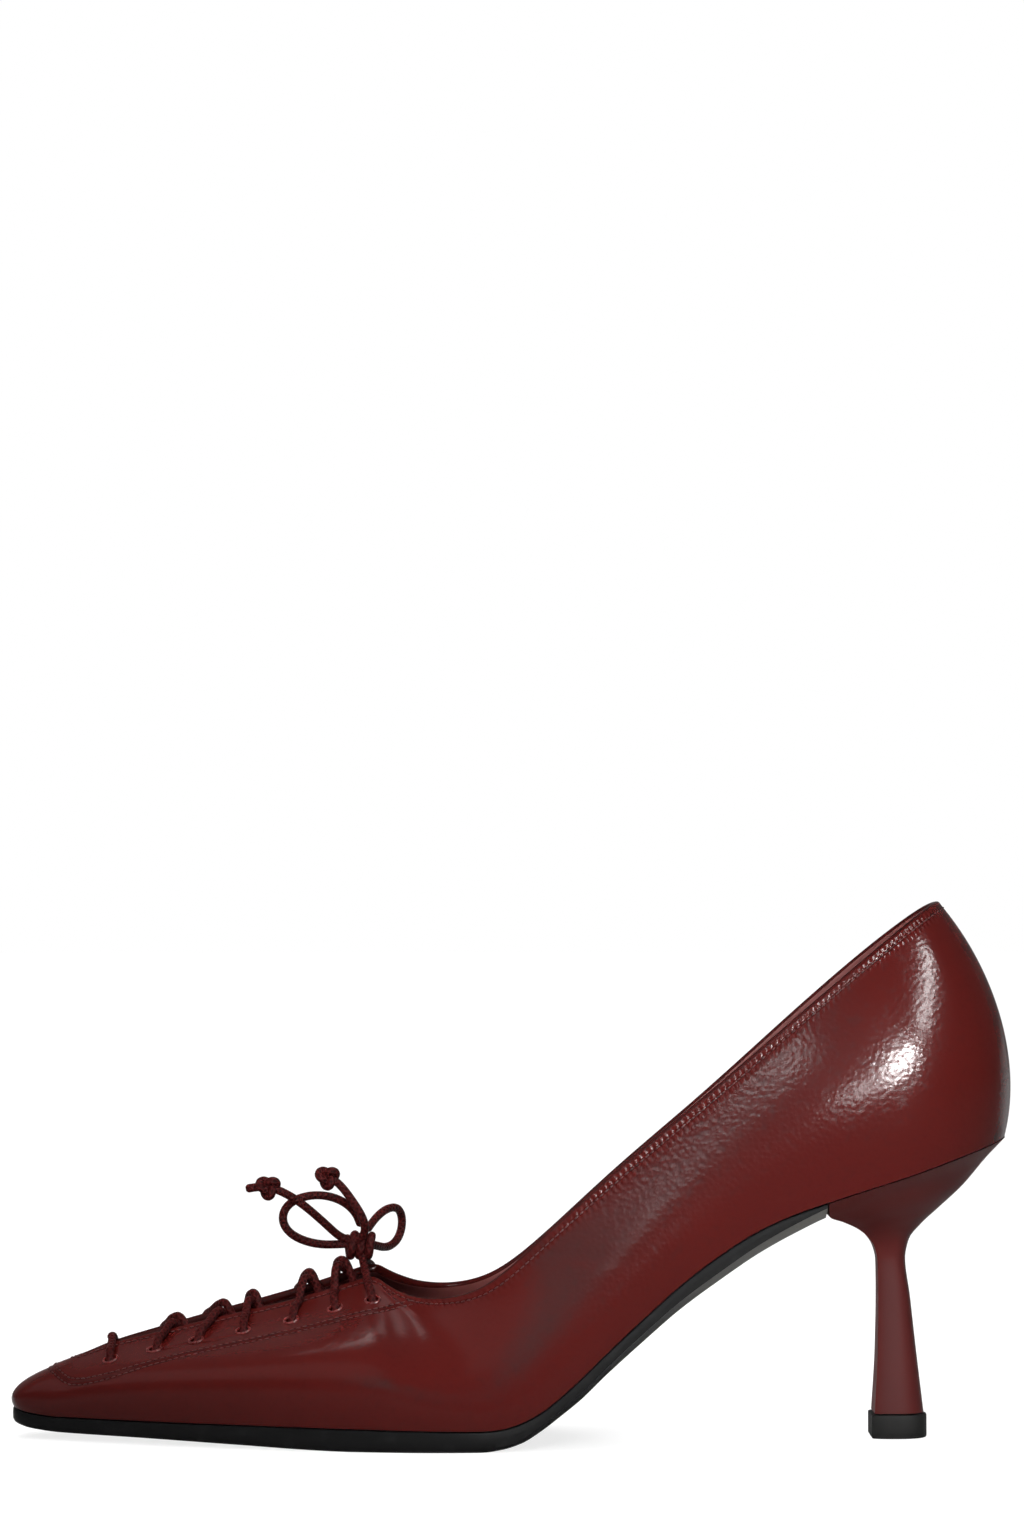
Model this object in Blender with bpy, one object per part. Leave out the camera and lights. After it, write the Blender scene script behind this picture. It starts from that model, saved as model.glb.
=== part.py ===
"""Laced pointed toe pump, left shoe, as separate solids (metres, +Z up).

The toe points along -X, the heel stands at +X and -Y is the outer side of the foot.
The tables are in millimetres: u runs back from the toe tip, y runs to the inner side,
z is the height above the floor.
"""
import math
from collections import namedtuple

import bmesh
import bpy
import numpy as np

MM = 0.001
GAP = 0.3
WALL = 1.8
SOLE_INSET = -0.1
INSOLE_INSET = WALL + 0.6
INSOLE_THICKNESS = 2.2
BREAST_U = 192.6

LACE_DIAMETER = 2.0
EYELET_DIAMETER = 3.0
EYELET_SETBACK = 10.2
EYELET_U = (24.2, 34.6, 44.4, 55.5, 66.9, 77.3, 86.1)

UPPER_COLUMNS_PER_STATION = 3
UPPER_ROWS = 10
SHARP_ANGLE = math.radians(40.0)
EYELET_SIDES = 8
OUTSOLE_RINGS = 60
OUTSOLE_START = 0.12
TOE_BEVEL_RUN = 0.2
TOE_BEVEL_GROWTH = 0.4
INSOLE_RINGS = 46
INSOLE_START = 1.4
INSOLE_END_MARGIN = 0.25

# Bed line that the upper stands on, underside of the outsole and bevel of its lower edge.
Profile = namedtuple("Profile", "u bed under bevel")
PROFILE = (
    Profile(0.0, 7.1, 3.9, 0.5),
    Profile(5.0, 5.9, 2.5, 0.5),
    Profile(12.0, 5.3, 1.8, 0.5),
    Profile(32.0, 5.3, 1.5, 0.5),
    Profile(56.0, 5.3, 0.8, 0.5),
    Profile(72.0, 5.2, 0.2, 0.5),
    Profile(82.0, 5.1, 0.0, 0.5),
    Profile(112.0, 4.7, 0.0, 0.5),
    Profile(116.5, 5.1, 0.5, 0.7),
    Profile(121.0, 6.4, 1.8, 0.9),
    Profile(125.5, 8.7, 4.4, 1.1),
    Profile(130.0, 12.1, 7.7, 1.3),
    Profile(135.0, 16.5, 11.6, 1.5),
    Profile(140.0, 21.3, 16.3, 1.7),
    Profile(149.0, 29.6, 24.2, 2.0),
    Profile(158.0, 37.5, 31.8, 2.1),
    Profile(167.5, 44.6, 38.6, 2.2),
    Profile(177.0, 50.4, 44.9, 2.3),
    Profile(186.0, 54.3, 49.8, 2.4),
    Profile(194.0, 57.0, 53.6, 2.4),
    Profile(213.7, 63.3, 60.0, 0.8),
    Profile(238.0, 71.8, 68.0, 0.8),
)

# One row for each section of the last: its foot on the bed line, its top at the slit or the
# topline, the extra height of the inner side's top, and the bulge of the wall between them.
# The first row is the toe's centre line and the last row the back seam.
Station = namedtuple(
    "Station",
    "foot lateral medial top top_lateral top_medial top_z inner_rise"
    " belly belly_up shoulder shoulder_down",
)
STATIONS = (
    Station(0.2, -2.0, 2.0, 16.4, 0.0, 0.0, 19.2, 0.0, 2.6, 4.6, 10.3, 3.7),
    Station(1.5, 4.4, 7.8, 16.8, 0.7, 0.7, 19.4, 0.0, 3.0, 5.0, 9.7, 3.7),
    Station(7.6, 8.1, 11.4, 19.0, 1.1, 1.1, 20.2, 0.1, 3.8, 6.6, 8.8, 3.9),
    Station(18.0, 12.9, 15.9, 24.5, 1.5, 1.5, 22.3, 0.3, 5.2, 9.8, 9.8, 4.9),
    Station(32.0, 19.5, 22.3, 34.0, 2.0, 2.0, 24.8, 0.7, 6.6, 13.6, 12.2, 6.7),
    Station(48.0, 25.8, 28.2, 48.0, 2.6, 2.6, 28.3, 1.2, 7.6, 16.8, 15.2, 9.0),
    Station(64.0, 31.1, 32.3, 62.0, 3.2, 3.2, 31.6, 1.7, 8.0, 19.2, 17.6, 11.0),
    Station(78.0, 35.0, 33.9, 75.0, 3.9, 3.9, 35.2, 2.0, 8.2, 21.0, 19.0, 12.4),
    Station(90.0, 37.2, 33.3, 84.6, 4.8, 4.8, 38.2, 2.0, 7.8, 21.6, 18.4, 12.7),
    Station(96.5, 37.8, 32.2, 88.4, 6.8, 6.6, 37.2, 2.0, 6.6, 20.0, 16.6, 11.7),
    Station(103.0, 38.0, 30.9, 94.0, 11.6, 10.8, 34.8, 2.0, 4.8, 16.8, 13.6, 9.9),
    Station(112.0, 37.4, 29.2, 102.0, 19.2, 17.0, 34.6, 0.8, 2.9, 13.6, 9.8, 8.5),
    Station(124.0, 35.3, 27.1, 113.0, 26.2, 22.4, 38.4, -1.2, 2.0, 12.0, 5.6, 8.8),
    Station(140.0, 31.9, 24.9, 126.0, 28.4, 24.2, 49.6, -3.4, 1.8, 11.5, 2.8, 10.0),
    Station(160.0, 27.9, 23.2, 144.0, 26.8, 23.6, 65.6, -3.0, 2.0, 12.0, 1.8, 11.0),
    Station(180.0, 25.6, 22.9, 164.0, 24.9, 23.0, 82.1, -2.2, 2.3, 13.0, 2.0, 12.5),
    Station(200.0, 24.5, 23.6, 184.0, 23.6, 22.6, 99.2, -1.3, 2.6, 15.0, 2.6, 14.0),
    Station(216.0, 22.4, 22.2, 200.5, 20.4, 20.2, 113.1, -0.6, 3.0, 16.5, 5.0, 15.0),
    Station(228.0, 16.6, 16.6, 212.0, 14.4, 14.4, 122.2, -0.2, 3.9, 17.5, 9.2, 15.4),
    Station(234.3, 8.8, 8.8, 218.2, 7.4, 7.4, 126.5, 0.0, 4.5, 18.0, 12.6, 15.5),
    Station(236.2, 0.0, 0.0, 220.2, 0.0, 0.0, 127.5, 0.0, 4.7, 18.0, 13.7, 15.5),
)

# The inner facing lies flatter beside the slit where it stands higher than the outer one.
INNER_FLATTEN = 0.27

# Sections of the heel from its seat down to the top piece.
HeelLevel = namedtuple("HeelLevel", "front front_z back back_z half_width squareness")
HEEL_LEVELS = (
    HeelLevel(193.3, 53.4, 232.0, 66.6, 20.8, 0.10),
    HeelLevel(197.0, 51.7, 226.2, 59.8, 16.4, 0.25),
    HeelLevel(200.5, 49.9, 220.4, 54.4, 11.8, 0.50),
    HeelLevel(203.2, 47.7, 216.2, 50.5, 8.2, 0.75),
    HeelLevel(204.9, 45.2, 213.4, 46.9, 5.8, 0.95),
    HeelLevel(205.7, 41.6, 212.5, 42.4, 4.7, 1.0),
    HeelLevel(205.8, 33.6, 213.6, 33.6, 5.0, 1.0),
    HeelLevel(205.6, 21.0, 215.0, 21.0, 5.8, 1.0),
    HeelLevel(204.8, 5.9, 216.8, 5.9, 7.0, 1.0),
)
HEEL_RING_HALF = 13
STEM_SQUARENESS = 2.5
STEM_FRONT_ANGLE = math.radians(122.0)
TOP_PIECE_HEIGHT = 5.6
TOP_PIECE_PROUD = 0.7
TOP_PIECE_CHAMFER = 0.4

# Bow: the knot over the throat, and the routes of its loops and ends as (u, y, z).
KNOT_CENTRE = (82.6, 0.0, 45.3)
KNOT_RADII = (4.2, 4.4, 3.7)
LOOP_FRONT = (
    (77.6, -2.2, 45.6), (71.8, -7.0, 46.4), (66.6, -11.0, 49.0), (64.3, -12.8, 52.2),
    (65.8, -12.6, 55.0), (69.4, -11.0, 57.0), (73.6, -8.4, 57.6), (77.8, -5.6, 56.6),
    (80.8, -3.4, 54.4), (82.4, -2.0, 51.9), (82.9, -1.2, 50.0),
)
LOOP_BACK = (
    (84.3, 2.5, 48.75), (86.6, 7.5, 51.6), (89.4, 13.5, 52.6), (91.8, 18.0, 51.2),
    (92.3, 19.0, 49.0), (90.8, 15.6, 46.6), (89.0, 10.2, 45.0), (87.4, 5.2, 44.6),
)
END_FRONT = (
    (78.2, -3.6, 47.4), (74.8, -7.6, 50.8), (70.6, -12.2, 54.9), (67.2, -15.0, 57.6),
    (64.2, -16.6, 59.3), (61.6, -17.2, 60.2), (59.0, -17.4, 60.2), (56.4, -17.4, 59.7),
)
END_BACK = (
    (84.0, -3.7, 48.0), (83.9, -5.8, 51.4), (82.2, -6.8, 54.6), (79.6, -7.5, 58.4),
    (77.4, -7.9, 61.0), (75.8, -8.0, 61.9), (73.8, -8.0, 62.0),
)
END_KNOT_SWELL = 2.1
END_KNOT_SPOT = {"lace_end_front": (61.8, -17.2, 60.2), "lace_end_back": (75.0, -8.0, 61.9)}
END_KNOT_REACH = 2.2
LOOP_POINTS = 22
END_POINTS = 17
KNOT_SEGMENTS = 14
KNOT_RINGS = 9

STRAND_EXTRA_LIFT = 0.2
STRAND_LIFT = LACE_DIAMETER / 2 + GAP + STRAND_EXTRA_LIFT
STRAND_POINTS = 13
BAR_POINTS = 15
CLIMB_SHARES = (0.0, 0.3, 0.6)
BAR_SHARES = (0.0, 0.34, 0.67, 1.0)
RISE_SHARES = (0.0, 0.4, 0.8, 1.0)
RISE_BACK = 0.6
# Where the two strands of each crossing meet over the slit, and how high they arch above it.
Crossing = namedtuple("Crossing", "apex arch")
CROSSINGS = (
    Crossing(39.0, 2.4),
    Crossing(49.6, 2.6),
    Crossing(58.0, 3.0),
    Crossing(70.4, 4.2),
    Crossing(78.6, 3.4),
)
UNDER_STRAND_DROP = 1.1
LANDING_LIFT = 0.4
RISE_OVERLAP = 0.4

Finish = namedtuple("Finish", "name colour roughness")
LEATHER = Finish("burgundy_leather", (0.085, 0.012, 0.011), 0.25)
HEEL_COVER = Finish("heel_cover", (0.090, 0.022, 0.020), 0.45)
SOLE = Finish("black_sole", (0.012, 0.012, 0.013), 0.4)
RUBBER = Finish("top_piece_rubber", (0.020, 0.020, 0.020), 0.6)
SOCK = Finish("sock_leather", (0.10, 0.035, 0.03), 0.6)
CORD = Finish("lace_cord", (0.060, 0.012, 0.013), 0.5)


def monotone_curve(xs, ys):
    """Smooth curve through a profile's rows that never overshoots them."""
    xs = np.asarray(xs)
    ys = np.asarray(ys)
    steps = np.diff(xs)
    slopes = np.diff(ys) / steps
    tangents = np.concatenate(([slopes[0]], np.zeros(len(xs) - 2), [slopes[-1]]))
    for i in range(1, len(xs) - 1):
        if slopes[i - 1] * slopes[i] > 0:
            weight = (steps[i - 1] + 2 * steps[i]) / (3 * (steps[i - 1] + steps[i]))
            tangents[i] = 1 / (weight / slopes[i - 1] + (1 - weight) / slopes[i])

    def value(x):
        x = min(max(x, xs[0]), xs[-1])
        i = min(int(np.searchsorted(xs, x, side="right")) - 1, len(steps) - 1)
        f = (x - xs[i]) / steps[i]
        rise = f * f * (3 - 2 * f)
        ease_in = f * (1 - f) * (1 - f) * steps[i]
        ease_out = f * f * (f - 1) * steps[i]
        return ys[i] * (1 - rise) + ys[i + 1] * rise + tangents[i] * ease_in + tangents[i + 1] * ease_out

    return value


def closed_spline(points):
    """Periodic cubic spline through rows of numbers, one row for each whole parameter."""
    points = np.asarray(points, dtype=float)
    count = len(points)
    before = np.roll(points, 1, axis=0)
    after = np.roll(points, -1, axis=0)
    system = 4 * np.eye(count) + np.roll(np.eye(count), 1, axis=0) + np.roll(np.eye(count), -1, axis=0)
    bends = np.linalg.solve(system, 6 * (before - 2 * points + after))

    def value(t):
        i = int(math.floor(t))
        f = t - i
        a = i % count
        b = (i + 1) % count
        g = 1 - f
        curved = ((g ** 3 - g) * bends[a] + (f ** 3 - f) * bends[b]) / 6
        return g * points[a] + f * points[b] + curved

    return value


def open_spline(points, samples):
    """Evenly numbered points on a smooth open curve through a route's own points."""
    points = [np.asarray(p, dtype=float) for p in points]
    padded = [2 * points[0] - points[1], *points, 2 * points[-1] - points[-2]]
    spans = len(points) - 1
    route = []
    for k in range(samples):
        place = spans * k / (samples - 1)
        i = min(int(place), spans - 1)
        f = place - i
        p0, p1, p2, p3 = padded[i:i + 4]
        bend = (2 * p0 - 5 * p1 + 4 * p2 - p3) * f * f + (3 * p1 - p0 - 3 * p2 + p3) * f ** 3
        route.append(p1 + 0.5 * ((p2 - p0) * f + bend))
    return route


bed_height = monotone_curve([row.u for row in PROFILE], [row.bed for row in PROFILE])
under_height = monotone_curve([row.u for row in PROFILE], [row.under for row in PROFILE])
edge_bevel = monotone_curve([row.u for row in PROFILE], [row.bevel for row in PROFILE])


def loop_rows():
    """Rows of the closed loop: outer side from toe to heel, then inner side back to the toe."""
    outer = [
        (s.foot, -s.lateral, s.top, -s.top_lateral, s.top_z, s.belly, s.belly_up, s.shoulder, s.shoulder_down)
        for s in STATIONS
    ]
    inner = []
    for s in reversed(STATIONS[1:-1]):
        top_z = s.top_z + s.inner_rise
        shoulder_down = s.shoulder_down * (1 - INNER_FLATTEN * max(s.inner_rise, 0.0))
        inner.append(
            (s.foot, s.medial, s.top, s.top_medial, top_z, s.belly, s.belly_up, s.shoulder, shoulder_down)
        )
    return outer + inner


LOOP_COUNT = 2 * (len(STATIONS) - 1)
BACK_SEAM = len(STATIONS) - 1
loop_at = closed_spline(loop_rows())
DELTA = 1e-3


def foot_plan(t):
    """Feather line in plan: its point, its direction of travel and its outward direction."""
    row = loop_at(t)
    ahead = loop_at(t + DELTA)
    behind = loop_at(t - DELTA)
    along = ahead[:2] - behind[:2]
    along = along / np.linalg.norm(along)
    outward = np.array([along[1], -along[0]])
    return row[:2], along, outward


def wall_curve(t):
    """The four control points of the wall's section, from the bed line to the top edge."""
    foot_u, foot_y, top_u, top_y, top_z, belly, belly_up, shoulder, shoulder_down = loop_at(t)
    foot_z = bed_height(foot_u) + GAP
    _, along, outward = foot_plan(t)
    lean = along * float(np.dot((top_u - foot_u, top_y - foot_y), along)) / (top_z - foot_z)
    foot = np.array((foot_u, foot_y, foot_z))
    top = np.array((top_u, top_y, top_z))
    low = foot + np.array((*(outward * belly + lean * belly_up), belly_up))
    high = top + np.array((*(outward * shoulder - lean * shoulder_down), -shoulder_down))
    return foot, low, high, top


def wall_point(t, s):
    foot, low, high, top = wall_curve(t)
    r = 1 - s
    return r ** 3 * foot + 3 * r * r * s * low + 3 * r * s * s * high + s ** 3 * top


def wall_normal(t, s):
    around = wall_point(t + DELTA, s) - wall_point(t - DELTA, s)
    up = wall_point(t, min(s + DELTA, 1.0)) - wall_point(t, max(s - DELTA, 0.0))
    normal = np.cross(around, up)
    return normal / np.linalg.norm(normal)


def outline_point(t, inset):
    """Point of the feather line in plan, moved inwards."""
    point, _, outward = foot_plan(t)
    return point - outward * inset


def station_of(u):
    """Loop parameter on the outer side where the feather line reaches a distance from the toe."""
    low = 0.0
    high = float(BACK_SEAM)
    for _ in range(40):
        middle = (low + high) / 2
        if loop_at(middle)[0] < u:
            low = middle
        else:
            high = middle
    return low


def step_below_top(t, setback):
    """Wall parameter at a distance along the leather from the top edge."""
    walked = 0.0
    steps = 200
    last = wall_point(t, 1.0)
    for k in range(1, steps + 1):
        s = 1 - k / steps
        point = wall_point(t, s)
        walked += float(np.linalg.norm(point - last))
        if walked >= setback:
            return s
        last = point
    return 0.0


def facing_spot(inner, u, setback):
    """Loop and wall parameters of a spot on a facing, from its place along the shoe."""
    low = 1.0
    high = 12.0
    for _ in range(30):
        middle = (low + high) / 2
        t = LOOP_COUNT - middle if inner else middle
        if wall_point(t, step_below_top(t, setback))[0] < u:
            low = middle
        else:
            high = middle
    t = LOOP_COUNT - low if inner else low
    return t, step_below_top(t, setback)


def plan_centre():
    """Middle of the upper's length and width, so that the shoe stands over the origin."""
    steps = [k / UPPER_COLUMNS_PER_STATION for k in range(UPPER_COLUMNS_PER_STATION * LOOP_COUNT)]
    spots = np.array([wall_point(t, r / UPPER_ROWS)[:2] for t in steps for r in range(UPPER_ROWS + 1)])
    return (spots.min(axis=0) + spots.max(axis=0)) / 2


CENTRE_U, CENTRE_Y = plan_centre()


def place(point):
    """Table millimetres to the model's frame in metres."""
    u, y, z = point
    return ((u - CENTRE_U) * MM, (y - CENTRE_Y) * MM, z * MM)


def make_material(finish):
    material = bpy.data.materials.new(finish.name)
    material.use_nodes = True
    shader = material.node_tree.nodes["Principled BSDF"]
    shader.inputs["Base Color"].default_value = (*finish.colour, 1.0)
    shader.inputs["Roughness"].default_value = finish.roughness
    shader.inputs["Metallic"].default_value = 0.0
    material.diffuse_color = (*finish.colour, 1.0)
    return material


def add_object(name, mesh, material):
    mesh.materials.append(material)
    mesh.shade_smooth()
    mesh.set_sharp_from_angle(angle=SHARP_ANGLE)
    piece = bpy.data.objects.new(name, mesh)
    bpy.context.scene.collection.objects.link(piece)
    return piece


def add_faces(name, points, faces, material):
    shape = bmesh.new()
    corners = [shape.verts.new(place(p)) for p in points]
    for face in faces:
        shape.faces.new([corners[i] for i in face])
    bmesh.ops.recalc_face_normals(shape, faces=shape.faces)
    mesh = bpy.data.meshes.new(name)
    shape.to_mesh(mesh)
    shape.free()
    return add_object(name, mesh, material)


def ladder(ring, first):
    """Faces that close a ring by joining each point to its partner on the other side."""
    half = ring // 2
    return [
        (first + i, first + i + 1, first + ring - 2 - i, first + ring - 1 - i)
        for i in range(half - 1)
    ]


def loft(name, rings, material):
    """Closed solid through rings of equal count, whose ends are closed side to side."""
    ring = len(rings[0])
    points = [p for one in rings for p in one]
    faces = []
    for k in range(len(rings) - 1):
        for i in range(ring):
            j = (i + 1) % ring
            faces.append((k * ring + i, k * ring + j, (k + 1) * ring + j, (k + 1) * ring + i))
    faces += ladder(ring, 0)
    faces += ladder(ring, (len(rings) - 1) * ring)
    return add_faces(name, points, faces, material)


def make_upper(material):
    """Hollow shell between the bed line and the top edge, with its own wall thickness."""
    columns = LOOP_COUNT * UPPER_COLUMNS_PER_STATION
    rows = UPPER_ROWS + 1
    outer = []
    inner = []
    for c in range(columns):
        t = c / UPPER_COLUMNS_PER_STATION
        for r in range(rows):
            s = r / UPPER_ROWS
            point = wall_point(t, s)
            outer.append(point)
            inner.append(point - WALL * wall_normal(t, s))
    for c in range(columns):
        inner[c * rows][2] = outer[c * rows][2]
    base = len(outer)
    faces = []
    for c in range(columns):
        here = c * rows
        there = ((c + 1) % columns) * rows
        for r in range(UPPER_ROWS):
            faces.append((here + r, there + r, there + r + 1, here + r + 1))
            faces.append((base + here + r, base + here + r + 1, base + there + r + 1, base + there + r))
        faces.append((here, base + here, base + there, there))
        last = UPPER_ROWS
        faces.append((here + last, there + last, base + there + last, base + here + last))
    upper = add_faces("upper", outer + inner, faces, material)
    punch = upper.modifiers.new("eyelets", "BOOLEAN")
    punch.operation = "DIFFERENCE"
    punch.solver = "EXACT"
    punch.object = eyelet_punch(material)
    return upper


def eyelet_punch(material):
    """Guide of fourteen pins that punch the eyelets through both facings."""
    sides = EYELET_SIDES
    reach = WALL * 1.5
    points = []
    faces = []
    for inner in (False, True):
        for u in EYELET_U:
            t, s = facing_spot(inner, u, EYELET_SETBACK)
            centre = wall_point(t, s)
            axis = wall_normal(t, s)
            across = np.cross(axis, (1.0, 0.0, 0.0))
            across = across / np.linalg.norm(across)
            beside = np.cross(axis, across)
            first = len(points)
            for offset in (-WALL - reach, reach):
                for k in range(sides):
                    angle = 2 * math.pi * k / sides
                    spoke = math.cos(angle) * across + math.sin(angle) * beside
                    points.append(centre + axis * offset + spoke * EYELET_DIAMETER / 2)
            for k in range(sides):
                j = (k + 1) % sides
                faces.append((first + k, first + j, first + sides + j, first + sides + k))
            faces.append(tuple(first + k for k in reversed(range(sides))))
            faces.append(tuple(first + sides + k for k in range(sides)))
    guide = add_faces("eyelet_punch", points, faces, material)
    guide.hide_render = True
    guide.display_type = "WIRE"
    return guide


def sole_ring(t):
    """Section of the outsole: flat top, upright edge and a bevel down to its underside."""
    ring = []
    for side in (t, LOOP_COUNT - t):
        u, y = outline_point(side, SOLE_INSET)
        bevel = edge_bevel(u)
        slope = min(2 * bevel, TOE_BEVEL_RUN + TOE_BEVEL_GROWTH * t)
        run = outline_point(side, SOLE_INSET + slope)
        edge = [(u, y, bed_height(u)), (u, y, under_height(u) + bevel), (run[0], run[1], under_height(run[0]))]
        ring += edge if side == t else edge[::-1]
    return ring


def make_outsole(material):
    length = station_of(BREAST_U) - OUTSOLE_START
    steps = [OUTSOLE_START + length * k / OUTSOLE_RINGS for k in range(OUTSOLE_RINGS + 1)]
    return loft("outsole", [sole_ring(t) for t in steps], material)


def make_insole(material):
    length = BACK_SEAM - INSOLE_END_MARGIN - INSOLE_START
    rings = []
    for k in range(INSOLE_RINGS + 1):
        t = INSOLE_START + length * k / INSOLE_RINGS
        ring = []
        for side in (t, LOOP_COUNT - t):
            u, y = outline_point(side, INSOLE_INSET)
            low = bed_height(u) + GAP
            edge = [(u, y, low + INSOLE_THICKNESS), (u, y, low)]
            ring += edge if side == t else edge[::-1]
        rings.append(ring)
    return loft("insole", rings, material)


def heel_seat_ring():
    """Seat of the heel: the feather line behind the breast, at the bed's height."""
    start = station_of(BREAST_U + GAP)
    ring = []
    for k in range(2 * HEEL_RING_HALF):
        t = start + (LOOP_COUNT - 2 * start) * k / (2 * HEEL_RING_HALF - 1)
        u, y = outline_point(t, SOLE_INSET)
        ring.append((max(u, BREAST_U + GAP), y, bed_height(u)))
    return ring


def stem_shape():
    """Stem section with a flat breast and a round back, as shares of its length and half width."""
    shape = []
    power = 2 / STEM_SQUARENESS
    for k in range(2 * HEEL_RING_HALF):
        angle = STEM_FRONT_ANGLE * (2 * k / (2 * HEEL_RING_HALF - 1) - 1)
        long = math.copysign(abs(math.cos(angle)) ** power, math.cos(angle))
        wide = math.copysign(abs(math.sin(angle)) ** power, math.sin(angle))
        shape.append((long, wide))
    front = min(long for long, _ in shape)
    return [((long - front) / (1 - front), wide) for long, wide in shape]


def level_ring(level, seat_shape, square_shape, centre_y):
    ring = []
    for (seat_long, seat_wide), (long, wide) in zip(seat_shape, square_shape):
        along = seat_long + (long - seat_long) * level.squareness
        across = seat_wide + (wide - seat_wide) * level.squareness
        u = level.front + (level.back - level.front) * along
        z = level.front_z + (level.back_z - level.front_z) * along
        ring.append((u, centre_y + across * level.half_width, z))
    return ring


def make_heel(material):
    seat = heel_seat_ring()
    front = min(p[0] for p in seat)
    back = max(p[0] for p in seat)
    low = min(p[1] for p in seat)
    high = max(p[1] for p in seat)
    middle = (low + high) / 2
    half = (high - low) / 2
    seat_shape = [((u - front) / (back - front), (y - middle) / half) for u, y, _ in seat]
    square = stem_shape()
    rings = [seat] + [level_ring(level, seat_shape, square, 0.0) for level in HEEL_LEVELS]
    return loft("heel", rings, material)


def make_top_piece(material):
    foot = HEEL_LEVELS[-1]
    square = stem_shape()
    rings = []
    for z, shrink in ((TOP_PIECE_HEIGHT, 0.0), (TOP_PIECE_CHAMFER, 0.0), (0.0, TOP_PIECE_CHAMFER)):
        proud = TOP_PIECE_PROUD - shrink
        level = HeelLevel(foot.front - proud, z, foot.back + proud, z, foot.half_width + proud, 1.0)
        rings.append(level_ring(level, square, square, 0.0))
    return loft("top_piece", rings, material)


def tube(name, route, material, radii=None):
    """Round cord along a route, as a curve with a bevel and filled caps."""
    curve = bpy.data.curves.new(name, "CURVE")
    curve.dimensions = "3D"
    curve.bevel_depth = LACE_DIAMETER / 2 * MM
    curve.bevel_resolution = 2
    curve.use_fill_caps = True
    spline = curve.splines.new("POLY")
    spline.points.add(len(route) - 1)
    for k, point in enumerate(route):
        spline.points[k].co = (*place(point), 1.0)
        spline.points[k].radius = radii[k] if radii else 1.0
    spline.use_smooth = True
    curve.materials.append(material)
    piece = bpy.data.objects.new(name, curve)
    bpy.context.scene.collection.objects.link(piece)
    return piece


def strand_mesh(name, route, material):
    """A lace strand as a mesh, so that it can be joined with the strand that it crosses."""
    piece = tube(name + "_route", route, material)
    graph = bpy.context.evaluated_depsgraph_get()
    mesh = bpy.data.meshes.new_from_object(piece.evaluated_get(graph))
    curve = piece.data
    bpy.data.objects.remove(piece)
    bpy.data.curves.remove(curve)
    mesh.materials.clear()
    weld = bmesh.new()
    weld.from_mesh(mesh)
    bmesh.ops.remove_doubles(weld, verts=weld.verts, dist=1e-6)
    bmesh.ops.recalc_face_normals(weld, faces=weld.faces)
    weld.to_mesh(mesh)
    weld.free()
    return add_object(name, mesh, material)


def joined_strands(name, first, second, material):
    piece = strand_mesh(name, first, material)
    guide = strand_mesh(name + "_partner", second, material)
    guide.hide_render = True
    guide.display_type = "WIRE"
    join = piece.modifiers.new("joined", "BOOLEAN")
    join.operation = "UNION"
    join.solver = "EXACT"
    join.object = guide
    return piece


def above_facing(inner, u, setback):
    """Point on a facing that carries the middle of a lace."""
    t, s = facing_spot(inner, u, setback)
    return wall_point(t, s) + STRAND_LIFT * wall_normal(t, s)


def slit_edge(inner, u):
    t, _ = facing_spot(inner, u, 0.0)
    return wall_point(t, 1.0)


def crossing_route(inner, here, ahead, crossing):
    """Strand from an eyelet over its own edge and across the slit, onto the other edge."""
    apex_u = crossing.apex
    far_u = (apex_u + ahead) / 2
    apex_z = max(slit_edge(side, apex_u)[2] for side in (False, True)) + crossing.arch
    climb = [
        above_facing(inner, here + (apex_u - here) * f, EYELET_SETBACK * (1 - f))
        for f in CLIMB_SHARES
    ]
    top = np.array((apex_u, 0.0, apex_z - (0.0 if inner else UNDER_STRAND_DROP)))
    landing = above_facing(not inner, far_u, 0.0) + np.array((0.0, 0.0, LANDING_LIFT))
    return open_spline((*climb, top, landing), STRAND_POINTS)


def make_crossings(material):
    pieces = []
    for k, crossing in enumerate(CROSSINGS, start=1):
        here = EYELET_U[k]
        ahead = EYELET_U[k + 1]
        outer = crossing_route(False, here, ahead, crossing)
        inner = crossing_route(True, here, ahead, crossing)
        pieces.append(joined_strands("lace_cross_%d" % k, outer, inner, material))
    return pieces


def make_first_bar(material):
    u = EYELET_U[0]
    route = [above_facing(False, u, EYELET_SETBACK * (1 - f)) for f in BAR_SHARES]
    route += [above_facing(True, u, EYELET_SETBACK * f) for f in BAR_SHARES]
    return tube("lace_bar", open_spline(route, BAR_POINTS), material)


def make_rising_strands(material):
    """The last two strands, from the top eyelets to the underside of the knot."""
    u = EYELET_U[-1]
    drop = KNOT_RADII[2] + GAP + LACE_DIAMETER / 2
    meet = np.array(KNOT_CENTRE) + np.array((RISE_BACK, 0.0, -drop))
    routes = []
    for inner in (False, True):
        climb = [above_facing(inner, u - f, EYELET_SETBACK * (1 - f)) for f in RISE_SHARES]
        side = 1 if inner else -1
        end = meet + np.array((0.0, -side * RISE_OVERLAP, 0.0))
        routes.append(open_spline((*climb, end), STRAND_POINTS))
    return joined_strands("lace_rise", routes[0], routes[1], material)


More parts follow.
